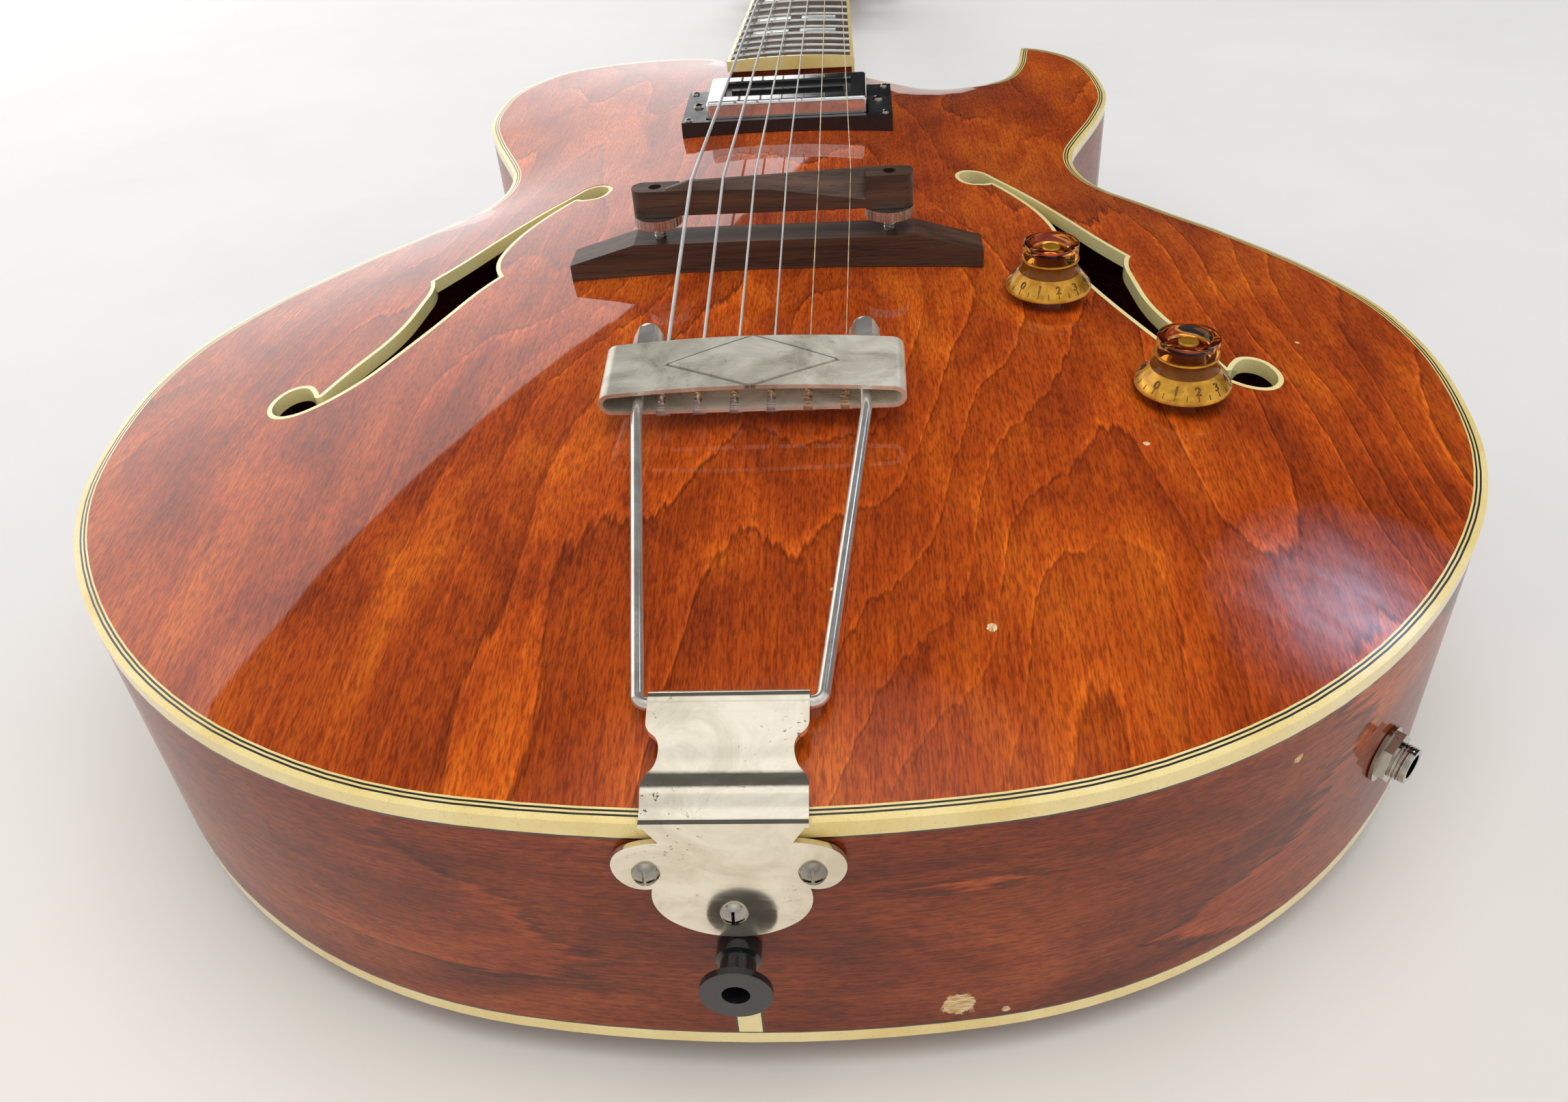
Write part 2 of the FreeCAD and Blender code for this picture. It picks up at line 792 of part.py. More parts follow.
def make_neck():
    joint = -(nut_y - neck_joint_y) / math.cos(math.radians(neck_pitch))
    ends = [neck_section(joint, neck_depth_heel), neck_section(nut_length, neck_depth_nut)]
    shaft = put(Part.makeLoft(ends, True), neck_frame)
    ahead = block(-body_length, body_length, neck_joint_y, 3 * body_length, -body_length, body_length)
    shelf_plan = board_plan(shelf_margin, -board_length + shelf_margin, joint + 2)
    shelf = prism(shelf_plan, -board_thickness - deep / 2, -board_thickness)
    shelf = put(shelf, neck_frame).cut(below_top(seat_gap))
    over_rim = block(-body_length, body_length, neck_joint_y - shelf_rim_clear,
                     neck_joint_y + shelf_rim_clear, -deep, seat_gap)
    shelf = shelf.cut(over_rim)
    levels = [(-rim_depth, heel_half_width, heel_length),
              (-0.7 * rim_depth, 1.08 * heel_half_width, 1.15 * heel_length),
              (-0.38 * rim_depth, 1.22 * heel_half_width, 1.5 * heel_length),
              (-0.16 * rim_depth, 1.38 * heel_half_width, 2.3 * heel_length),
              (0.05 * rim_depth, 1.48 * heel_half_width, 4.6 * heel_length)]
    sections = [place(half_oval(half, length), V(0, neck_joint_y, z)) for z, half, length in levels]
    heel = Part.makeLoft(sections, True)
    plank = put(prism(head_outline(), -head_thickness, 0), head_frame)
    face = block(-body_length, body_length, -4 * nut_length, body_length, -board_thickness, body_length)
    face = put(face, neck_frame)
    tenon = block(-tenon_width / 2, tenon_width / 2, neck_joint_y - tenon_depth, neck_joint_y + 1,
                  -top_thickness - side_line - lining_height - tenon_height, -top_thickness - lining_height)
    wood = fuse([shaft.common(ahead), shelf, heel, plank.cut(face), tenon])
    channel = put(block(-truss_channel_width / 2, truss_channel_width / 2, truss_start, nut_length + 1,
                        -board_thickness - truss_channel_depth, -board_thickness), neck_frame)
    wide, long, low = truss_pocket
    pocket = put(block(-wide / 2, wide / 2, 0, long, -low, overlay_thickness), head_frame)
    tuner_axes = [V(side * tuner_x, y, 0) for side, y in tuner_spots()]
    holes = [put(rod(bushing_radius, axis - V(0, 0, head_thickness), axis), head_frame) for axis in tuner_axes]
    parts["neck"] = wood.cut([channel, pocket] + holes)
    for name in ("body_blocks", "side_bass", "side_cutaway"):
        parts[name] = group([parts[name].cut(tenon)])
    above = V(0, 0, overlay_thickness)
    face_holes = [put(rod(bushing_radius, axis, axis + above), head_frame) for axis in tuner_axes]
    ahead_of_nut = block(-body_length, body_length, nut_length + 2 * seat_gap, body_length, -body_length,
                         body_length)
    ahead_of_nut = put(ahead_of_nut, neck_frame)
    overlay = put(prism(head_outline(), 0, overlay_thickness), head_frame).common(ahead_of_nut)
    parts["headstock_overlay"] = overlay.cut([pocket] + face_holes)
    bar = rod(truss_rod_radius, V(0, truss_start, truss_z), V(0, truss_end, truss_z))
    cap = rod(truss_nut_radius, V(0, truss_end - truss_nut_length, truss_z), V(0, truss_end, truss_z))
    parts["truss_rod"] = put(fuse([bar, cap]), neck_frame)


def cover_screw_spots():
    return [(0, 0.82 * cover_length), (-0.36 * cover_width, 0.16 * cover_length),
            (0.36 * cover_width, 0.16 * cover_length)]


def make_nut_and_cover():
    half = board_nut_width / 2
    blank = block(-half, half, 0, nut_length, -board_thickness, 2 * nut_height)
    blank = blank.common(crown(nut_height))
    parts["nut"] = put(blank, neck_frame)
    half = cover_width / 2
    edge = [(half, cover_setback, 90), (0.55 * half, 0.62 * cover_length, 112),
            (0, cover_length + cover_setback, 180)]
    back = [(-x, y, -heading) for x, y, heading in reversed(edge)]
    base = Part.LineSegment(V(-half, cover_setback, 0), V(half, cover_setback, 0)).toShape()
    wire = Part.Wire(smooth_run(edge) + smooth_run(back) + [base])
    cover = prism(wire, overlay_thickness, overlay_thickness + cover_thickness)
    parts["truss_rod_cover"] = put(cover, head_frame)


# Tuners

gear_z = -head_thickness - housing_depth / 2
worm_offset = gear_radius + worm_radius + mesh_gap
housing_half_x = gear_radius + housing_gap + housing_wall
housing_front = -worm_offset - worm_radius - housing_gap - housing_wall
housing_back = gear_radius + housing_gap + housing_wall
ear_length = 4.6


def tuner_housing():
    """A stamped cover over the worm and gear, drawn for the treble edge with its post at the origin."""
    foot = -head_thickness
    low = foot - housing_depth
    shell = block(-housing_half_x, housing_half_x, housing_front, housing_back, low, foot)
    wall = housing_wall
    room = block(-housing_half_x + wall, housing_half_x - wall, housing_front + wall, housing_back - wall,
                 low + wall, foot)
    flange = block(-housing_half_x, housing_half_x, housing_front - ear_length, housing_back + ear_length,
                   foot - wall, foot)
    axle = rod(button_shaft_radius + running_gap, V(-2 * housing_half_x, -worm_offset, gear_z),
               V(2 * housing_half_x, -worm_offset, gear_z))
    holes = [rod(small_screw_radius, V(0, y, low), V(0, y, foot)) for y in tuner_screw_ys()]
    return shell.fuse(flange).cut([room, axle] + holes)


def tuner_screw_ys():
    return (housing_front - ear_length / 2, housing_back + ear_length / 2)


def tuner_button():
    """Worm, shaft and button, drawn for the treble edge."""
    inner = V(-housing_half_x, -worm_offset, gear_z)
    reach = button_reach
    outer = V(reach + 2, -worm_offset, gear_z)
    shaft = rod(button_shaft_radius, inner, outer)
    worm = rod(worm_radius, V(-worm_length / 2, -worm_offset, gear_z), V(worm_length / 2, -worm_offset, gear_z))
    collar = rod(button_collar, V(reach - button_collar, -worm_offset, gear_z), outer)
    half = button_width / 2
    edge = [(0, -0.55 * half, 0), (0.72 * button_length, -half, 0), (button_length, 0, 90),
            (0.72 * button_length, half, 180), (0, 0.55 * half, 180)]
    rim = smooth_run(edge)
    rim.append(Part.LineSegment(V(0, 0.55 * half, 0), V(0, -0.55 * half, 0)).toShape())
    grip = prism(Part.Wire(rim), -button_thickness / 2, button_thickness / 2)
    grip = grip.makeFillet(button_thickness / 4, grip.Edges)
    grip = place(grip, V(reach, -worm_offset, gear_z))
    return fuse([shaft, worm, collar, grip])


def tuner_post():
    """String post with its gear; the string hole crosses it near the top."""
    top = overlay_thickness + post_height
    stem = rod(post_radius, V(0, 0, gear_z - gear_thickness / 2), V(0, 0, top))
    gear = rod(gear_radius, V(0, 0, gear_z - gear_thickness / 2), V(0, 0, gear_z + gear_thickness / 2))
    hole_z = overlay_thickness + post_hole_height
    hole = rod(post_hole_radius, V(0, -2 * post_radius, hole_z), V(0, 2 * post_radius, hole_z))
    waist_foot = V(0, 0, hole_z - post_waist_height / 2)
    waist = tube(2 * post_radius, 0.82 * post_radius, waist_foot, waist_foot + V(0, 0, post_waist_height))
    return fuse([stem, gear]).cut([hole, waist])


def bushing():
    bore = post_radius + running_gap
    sleeve = tube(bushing_radius, bore, V(0, 0, -bushing_depth), V(0, 0, overlay_thickness))
    flange = tube(bushing_flange_radius, bore, V(0, 0, overlay_thickness),
                  V(0, 0, overlay_thickness + bushing_flange_height))
    return fuse([sleeve, flange])


def small_shank():
    return rod(small_screw_radius, V(0, 0, -small_screw_length), V(0, 0, 0))


def small_head(frame):
    return lathe([(0, 0), (small_head_radius, 0), (0.7 * small_head_radius, small_head_shoulder),
                  (0, small_head_height)], frame)


def small_screw():
    """A small round-head screw pointing down from z = 0."""
    return fuse([small_shank(), small_head(FreeCAD.Placement())])


def make_tuners():
    housings = []
    seats = []
    turned = FreeCAD.Rotation(V(1, 0, 0), 180)
    for number, (side, y) in enumerate(tuner_spots(), start=1):
        spot = head_frame.multiply(FreeCAD.Placement(V(side * tuner_x, y, 0), FreeCAD.Rotation()))
        for name, shape in (("button", tuner_button()), ("post", tuner_post())):
            shape = shape if side > 0 else mirror(shape)
            parts["tuner_%s_%d" % (name, number)] = put(shape, spot)
        housings.append(put(tuner_housing() if side > 0 else mirror(tuner_housing()), spot))
        housings.append(put(bushing(), spot))
        for screw_y in tuner_screw_ys():
            seat = FreeCAD.Placement(V(0, screw_y, -head_thickness - housing_wall), turned)
            seats.append(spot.multiply(seat))
    for x, y in cover_screw_spots():
        seat = FreeCAD.Placement(V(x, y, overlay_thickness + cover_thickness), FreeCAD.Rotation())
        seats.append(head_frame.multiply(seat))
    parts["tuner_housings"] = group(housings)
    shanks = [put(small_shank(), seat) for seat in seats]
    for name in ("neck", "headstock_overlay", "truss_rod_cover"):
        parts[name] = parts[name].cut(shanks)
    return [put(small_screw(), seat) for seat in seats]


# Bridge

wheel_foot = base_top + wheel_lift
saddle_foot = wheel_foot + wheel_thickness + seat_gap
bass_top = saddle_foot + saddle_bass_height


def spread(width, index):
    """The x of a string when six share a width."""
    return width * (index / (len(string_radii) - 1) - 0.5)


def string_saddle_point(index):
    x = bridge_x + spread(bridge_spread, index)
    y = bridge_y + saddle_compensation * (2 * index / (len(string_radii) - 1) - 1)
    return V(x, y, saddle_string_height)


def make_bridge():
    half = base_length / 2
    end_z = top_z(half + bridge_x, bridge_y) + base_end_height
    rise = base_flat / 2
    profile = [(-half, -top_arch, 0), (half, -top_arch, 0), (half, end_z, 0), (rise, base_top, 0),
               (-rise, base_top, 0), (-half, end_z, 0)]
    base = plate_along_y(polygon(profile), bridge_y - base_width / 2, bridge_y + base_width / 2)
    base = place(base, V(bridge_x, 0, 0)).cut(below_top(seat_gap))
    post_foot = base_top - post_bite
    posts = []
    spots = [V(bridge_x + side * post_spacing / 2, bridge_y, 0) for side in (-1, 1)]
    for spot in spots:
        posts.append(rod(bridge_post_radius, spot + V(0, 0, post_foot), spot + V(0, 0, bass_top - post_recess)))
    parts["bridge_base"] = base.cut(posts)
    parts["bridge_posts"] = group(posts)
    bore = bridge_post_radius + post_thread_gap
    tooth = math.pi * wheel_radius / wheel_knurl / 2
    for name, spot in zip(("bass", "treble"), spots):
        wheel = rod(wheel_radius, V(0, 0, 0), V(0, 0, wheel_thickness))
        groove = V(wheel_radius + 0.4 * tooth, 0, 0)
        notch = rod(tooth, groove, groove + V(0, 0, wheel_thickness))
        notches = [place(notch, V(0, 0, 0), UP, 360 * step / wheel_knurl) for step in range(wheel_knurl)]
        hole = rod(bore, V(0, 0, 0), V(0, 0, wheel_thickness))
        parts["thumbwheel_" + name] = place(wheel.cut(notches + [hole]), spot + V(0, 0, wheel_foot))
    holes = [rod(bore, spot, spot + V(0, 0, 2 * saddle_string_height)) for spot in spots]
    parts["bridge_saddle"] = fuse([saddle_beam()] + saddle_ends(spots)).cut(holes)


def saddle_ends(spots):
    """The two blocks round the posts, each rounded at its outer end."""
    ends = []
    for side, spot, height in zip((-1, 1), spots, (saddle_bass_height, saddle_treble_height)):
        half = saddle_block_length / 2
        end = block(spot.x - half, spot.x + half, bridge_y - saddle_depth / 2, bridge_y + saddle_depth / 2,
                    saddle_foot, saddle_foot + height)
        outer = [edge for edge in end.Edges if abs(edge.CenterOfMass.x - spot.x - side * half) < 1e-6
                 and edge.BoundBox.ZLength > height / 2]
        ends.append(end.makeFillet(saddle_corner, outer))
    return ends


def saddle_beam():
    """The bar between the posts, with a slanting crest and a facet that falls to its front edge."""
    first = spread(bridge_spread, 0)
    ridge = saddle_string_height + saddle_stand - saddle_foot
    stations = [(saddle_corner - post_spacing / 2, saddle_bass_height + saddle_stand, saddle_bass_height),
                (first - saddle_crest, ridge, saddle_bass_height),
                (0, ridge, saddle_front_middle),
                ((post_spacing - saddle_block_length) / 2 + 1, ridge, saddle_front_treble)]
    sections = []
    for x, crest_height, front_height in stations:
        crest = max(-1, x / abs(first)) * saddle_compensation
        points = [(-saddle_depth / 2, saddle_undercut), (saddle_depth / 2, saddle_undercut),
                  (saddle_depth / 2, crest_height - saddle_sink), (crest + saddle_crest / 2, crest_height),
                  (crest - saddle_crest / 2, crest_height), (-saddle_depth / 2, front_height)]
        sections.append(polygon([(bridge_x + x, bridge_y + y, saddle_foot + z) for y, z in points]))
    return Part.makeLoft(sections, True, True)


# Tailpiece

knuckle_z = top_z(0, knuckle_y) + knuckle_radius + knuckle_lift
plate_back = -hanger_stand
plate_front = plate_back - hanger_sheet


def make_hanger():
    steps = [(0.745, 1.089), (0.588, 0.933), (0.49, 0.767), (0.4, 0.633), (0.294, 0.589), (0.18, 0.544),
             (0.102, 0.389), (0.03, 0.278)]
    wave = [V(0, knuckle_y, knuckle_z + knuckle_radius)]
    wave += [V(0, share * knuckle_y, lift * knuckle_z) for share, lift in steps]
    wave.append(V(0, plate_front, 0.244 * knuckle_z))
    crest = Part.BSplineCurve()
    crest.interpolate(wave)
    drop = V(0, 0, -hanger_sheet)
    upper = crest.toShape()
    lower = upper.translated(drop)
    ends = [Part.LineSegment(point, point + drop).toShape() for point in (wave[0], wave[-1])]
    face = Part.Face(Part.Wire([upper, ends[1], lower, ends[0]]))
    sheet = place(face.extrude(V(2 * hanger_width, 0, 0)), V(-hanger_width, 0, 0))
    half = hanger_width / 2
    neck = hanger_neck_width / 2
    notch = [(x, share * knuckle_y, -90) for x, share in zip((half, neck, half), hanger_notch)]
    side = [(half, knuckle_y, -90)] + notch + [(half, plate_front, -90)]
    right = smooth_run(side)
    left = smooth_run([(-x, y, 90) for x, y, heading in reversed(side)])
    top_line = Part.LineSegment(V(-half, knuckle_y, 0), V(half, knuckle_y, 0)).toShape()
    low_line = Part.LineSegment(V(half, plate_front, 0), V(-half, plate_front, 0)).toShape()
    plan = prism(Part.Wire(right + [low_line] + left + [top_line]), -deep, deep)
    sheet = sheet.common(plan)
    pin_a = V(-half, knuckle_y, knuckle_z)
    pin_b = V(half, knuckle_y, knuckle_z)
    roll = rod(knuckle_radius, pin_a, pin_b)
    lobe = plate_lobe_width / 2
    throat = plate_neck_width / 2
    bend_z = wave[-1].z
    shape = [Part.LineSegment(V(-half, bend_z, 0), V(half, bend_z, 0)).toShape(),
             Part.LineSegment(V(half, bend_z, 0), V(throat, plate_throat_z, 0)).toShape()]
    waist = 0.68 * lobe
    wing = [(throat, plate_throat_z, 0), (lobe, plate_lobe_z, -90), (waist, plate_waist_z, -195)]
    bowl = [(waist, plate_waist_z, -75), (0, -plate_drop, -180), (-waist, plate_waist_z, -285)]
    far_wing = [(-x, y, -heading) for x, y, heading in reversed(wing)]
    shape += smooth_run(wing) + smooth_run(bowl) + smooth_run(far_wing)
    shape.append(Part.LineSegment(V(-throat, plate_throat_z, 0), V(-half, bend_z, 0)).toShape())
    plate = plate_along_y(Part.Wire(shape), plate_front, plate_back)
    hanger = fuse([sheet, roll, plate]).cut(rod(rod_radius + rod_gap, pin_a, pin_b))
    parts["tailpiece_hanger"] = hanger


bar_tilt = math.degrees(math.atan2(bar_z - knuckle_z, bar_y - knuckle_y))
bar_frame = FreeCAD.Placement(V(0, bar_y, bar_z), FreeCAD.Rotation(V(1, 0, 0), bar_tilt))


def bar_point(x, y, z):
    return bar_frame.multVec(V(x, y, z))


def oval(width, height, crown_height):
    """A closed oval about the origin with round ends, a flat foot and a crowned top."""
    radius = height / 2
    flat = width / 2 - radius
    right = Part.Arc(V(flat, -radius, 0), V(width / 2, 0, 0), V(flat, radius, 0)).toShape()
    left = Part.Arc(V(-flat, radius, 0), V(-width / 2, 0, 0), V(-flat, -radius, 0)).toShape()
    top = Part.Arc(V(flat, radius, 0), V(0, radius + crown_height, 0), V(-flat, radius, 0)).toShape()
    low = Part.LineSegment(V(-flat, -radius, 0), V(flat, -radius, 0)).toShape()
    return Part.Wire([right, top, left, low])


def make_tailpiece():
    half = bar_height / 2
    shell = plate_along_y(oval(bar_width, bar_height, bar_crown), 0, bar_depth)
    tips = [(-lozenge_width / 2, bar_depth / 2, 0), (0, 0, 0), (lozenge_width / 2, bar_depth / 2, 0),
            (0, bar_depth, 0)]
    lozenge = prism(polygon(tips), 0, bar_height).common(place(shell, V(0, 0, lozenge_height)))
    shell = fuse([shell, lozenge])
    inside = oval(bar_width - 2 * bar_wall, bar_height - 2 * bar_wall, bar_crown)
    room = plate_along_y(inside, -1, bar_depth + 1)
    slots = []
    for index in range(len(string_radii)):
        x = spread(tail_spread, index)
        slots.append(block(x - slot_width / 2, x + slot_width / 2, -1, slot_depth, -half - 1, 0))
    bar = shell.cut([room] + slots)
    end_y = bar_depth - bar_wall
    rear = plate_along_y(oval(bar_width, bar_height, bar_crown), end_y, bar_depth)
    gate_x = tail_spread / 2 + slot_width
    gate = block(-gate_x, gate_x, end_y - 1, bar_depth + 1, -half / 2, half)
    leg_x = rod_spread_bar / 2
    bores = [rod(rod_radius, V(x, -1, 0), V(x, bar_depth + 1, 0)) for x in (-leg_x, leg_x)]
    bar = fuse([bar, rear.cut(gate)]).cut(bores)
    parts["tailpiece_crossbar"] = put(bar, bar_frame)
    nuts = []
    for x in (-leg_x, leg_x):
        barrel = hexagon(acorn_flats, 0, acorn_length)
        dome = Part.makeSphere(acorn_flats / 2, V(0, 0, acorn_length))
        hole = rod(rod_radius, V(0, 0, 0), V(0, 0, acorn_length))
        nut = fuse([barrel, dome]).cut(hole)
        nuts.append(put(nut, bar_frame.multiply(FreeCAD.Placement(V(x, bar_depth, 0),
                                                                   FreeCAD.Rotation(V(1, 0, 0), -90)))))
    parts["acorn_nuts"] = group(nuts)
    tip = bar_depth + acorn_length
    foot_x = rod_spread_foot / 2
    points = [bar_point(-leg_x, tip, 0), bar_point(-leg_x, -rod_straight, 0), V(-foot_x, knuckle_y, knuckle_z),
              V(foot_x, knuckle_y, knuckle_z), bar_point(leg_x, -rod_straight, 0), bar_point(leg_x, tip, 0)]
    bends = [rod_leg_bend, rod_foot_bend, rod_foot_bend, rod_leg_bend]
    parts["tailpiece_rod"] = bent_wire(points, bends, rod_radius)


# Strings


def make_strings():
    tubes = []
    slots = []
    saddle_slots = []
    for index, radius in enumerate(string_radii):
        x_tail = spread(tail_spread, index)
        side, post_y = tuner_spots()[index]
        drop_y = slot_depth - radius - slot_rest
        inside_z = -bar_height / 2 + bar_wall + radius + string_lift
        ball = bar_point(x_tail, drop_y, -bar_height / 2 - ball_radius - ball_gap)
        turn = bar_point(x_tail, drop_y, inside_z)
        saddle = string_saddle_point(index)
        nut_point = neck_frame.multVec(V(spread(nut_spread, index), 0.92 * nut_length, nut_action + radius))
        post_x = side * (tuner_x - post_radius - radius - post_side_gap)
        end = head_frame.multVec(V(post_x, post_y, overlay_thickness + post_hole_height))
        run = bent_wire([ball, turn, saddle, nut_point, end], string_bends, radius)
        across = V(ball_length / 2, 0, 0)
        tubes.append(fuse([run, rod(ball_radius, ball - across, ball + across)]))
        grip = radius + string_clear
        nut_x = spread(nut_spread, index)
        slot = block(nut_x - grip, nut_x + grip, -1, nut_length + 1, nut_action - 3 * string_clear,
                     3 * nut_height)
        slots.append(put(slot, neck_frame))
        tall = grip + saddle_notch
        saddle_slots.append(block(saddle.x - grip, saddle.x + grip, bridge_y - saddle_depth,
                                  bridge_y + saddle_depth, saddle.z - tall, saddle.z + tall))
    parts["strings_wound"] = group(tubes[:wound_count])
    parts["strings_plain"] = group(tubes[wound_count:])
    parts["nut"] = parts["nut"].cut(slots)
    parts["bridge_saddle"] = parts["bridge_saddle"].cut(saddle_slots)


# Strap pin, pickup, controls and jack


def make_strap_pin():
    waist = -pin_collar_length - pin_waist_length
    face = waist - pin_flange_length
    outline_points = [(0, pin_plug_length), (pin_plug_radius, pin_plug_length), (pin_plug_radius, -seat_gap),
                      (pin_collar_radius, -seat_gap), (pin_collar_radius, -pin_collar_length),
                      (pin_waist_radius, -pin_collar_length - pin_collar_bevel), (pin_waist_radius, waist),
                      (pin_flange_radius, waist - pin_flange_bevel), (pin_flange_radius, face),
                      (pin_hole_radius, face), (pin_hole_radius, face + pin_hole_depth),
                      (0, face + pin_hole_depth)]
    frame = FreeCAD.Placement(V(0, 0, pin_z), FreeCAD.Rotation(V(1, 0, 0), -90))
    pin = lathe(outline_points, frame)
    parts["strap_pin"] = pin
    plug = rod(pin_plug_radius, V(0, -1, pin_z), V(0, pin_plug_length, pin_z))
    drill_tail([plug])


def drill_tail(cutters):
    """Holes through the tail's rim, graft and block."""
    for name in ("side_bass", "side_treble", "end_graft", "purfling_black", "body_blocks"):
        parts[name] = group([parts[name].cut(cutters)])


def hanger_screws():
    """The hanger's round-head screws, and their holes."""
    screws = []
    cutters = []
    spots = [(-plate_screw_x, plate_screw_z), (plate_screw_x, plate_screw_z), (0, plate_low_screw_z)]
    for x, z in spots:
        seat = FreeCAD.Placement(V(x, plate_front, z), FreeCAD.Rotation(V(1, 0, 0), 90))
        shank = rod(screw_radius, V(0, 0, -screw_length), V(0, 0, 0))
        dome = Part.makeSphere(screw_head_radius, V(0, 0, -0.25 * screw_head_radius))
        head = dome.cut(block(-screw_length, screw_length, -screw_length, screw_length, -screw_length, 0))
        half = screw_slot_width / 2
        slot = block(-screw_head_radius, screw_head_radius, -half, half, screw_slot_floor, screw_length)
        cross = block(-half, half, -screw_head_radius, screw_head_radius, screw_slot_floor, screw_length)
        screws.append(put(fuse([head, shank]).cut([slot, cross]), seat))
        cutters.append(put(shank, seat))
    drill_tail(cutters)
    parts["tailpiece_hanger"] = parts["tailpiece_hanger"].cut(cutters)
    return screws


def ring_screws():
    """Corner screws of the pickup ring, driven into the top plate."""
    screws = []
    cutters = []
    half_x = ring_length / 2 - small_head_radius - ring_screw_edge
    half_y = ring_width / 2 - small_head_radius - ring_screw_edge
    for x in (-half_x, half_x):
        for y in (ring_middle_y - half_y, ring_middle_y + half_y):
            seat = FreeCAD.Placement(V(x, y, ring_top), FreeCAD.Rotation())
            shank = rod(small_screw_radius, V(x, y, top_z(x, y) - ring_screw_bite), V(x, y, ring_top))
            screws.append(fuse([shank, small_head(seat)]))
            cutters.append(shank)
    for name in ("pickup_ring", "top_plate"):
        parts[name] = group([parts[name].cut(cutters)])
    return screws


def make_pickup():
    half_x = pickup_length / 2
    half_y = pickup_width / 2
    y0 = ring_middle_y - half_y
    y1 = ring_middle_y + half_y
    ring = block(-ring_length / 2, ring_length / 2, ring_front_y, ring_front_y + ring_width, 0, ring_top)
    room_x = half_x + pickup_gap
    window = block(-room_x, room_x, y0 - pickup_gap, y1 + pickup_gap, -1, ring_top + 1)
    ring = ring.cut(window).cut(below_top(seat_gap))
    screw_spots = [V(side * height_screw_x, ring_middle_y, 0) for side in (-1, 1)]
    bore = height_screw_radius + running_gap
    bores = [rod(bore, spot, spot + V(0, 0, ring_top)) for spot in screw_spots]
    parts["pickup_ring"] = ring.cut(bores)
    shell = block(-half_x, half_x, y0, y1, pickup_bottom, pickup_top)
    rim = [edge for edge in shell.Edges if edge.BoundBox.ZMax > pickup_top - 0.01 or edge.BoundBox.ZLength > 1]
    shell = shell.makeFillet(2 * pickup_wall, rim)
    wall = pickup_wall
    shell = shell.cut(block(-half_x + wall, half_x - wall, y0 + wall, y1 - wall, 0, pickup_top - wall))
    open_x = pickup_window[0] / 2
    open_y = pickup_window[1] / 2
    frame = block(-open_x, open_x, ring_middle_y - open_y, ring_middle_y + open_y, 0, pickup_top + 1)
    parts["pickup_cover"] = shell.cut(frame)
    core = block(-half_x + wall, half_x - wall, y0 + wall, y1 - wall, foot_top - foot_thickness,
                 pickup_top - pickup_window_depth - wall)
    blade = block(-blade_length / 2, blade_length / 2, ring_middle_y - blade_width / 2,
                  ring_middle_y + blade_width / 2, foot_top, pickup_top - 0.4 * pickup_window_depth)
    shelf = block(-half_x + wall, half_x - wall, y0 + wall, y1 - wall, pickup_top - wall - pickup_window_depth,
                  pickup_top - wall)
    shelf = shelf.cut(frame)
    foot = block(-height_screw_x - foot_end, height_screw_x + foot_end, ring_middle_y - foot_width / 2,
                 ring_middle_y + foot_width / 2, foot_top - foot_thickness, foot_top)
    parts["pickup_core"] = fuse([core, blade, shelf, foot]).cut(bores)
    for name, spot in zip(("bass", "treble"), screw_spots):
        tip = spot + V(0, 0, foot_top - height_screw_reach)
        shank = rod(height_screw_radius, tip, spot + V(0, 0, ring_top))
        seat = FreeCAD.Placement(spot + V(0, 0, ring_top + running_gap), FreeCAD.Rotation())
        head = lathe([(0, -running_gap), (height_screw_radius, -running_gap), (height_screw_radius, 0),
                      (height_head_radius, 0), (0.75 * height_head_radius, height_head_shoulder),
                      (0, height_head_height)], seat)
        slot = block(-height_head_radius, height_head_radius, -height_slot_width / 2, height_slot_width / 2,
                     height_slot_floor, 2 * height_head_height)
        parts["pickup_height_screw_" + name] = fuse([shank, head]).cut(put(slot, seat))


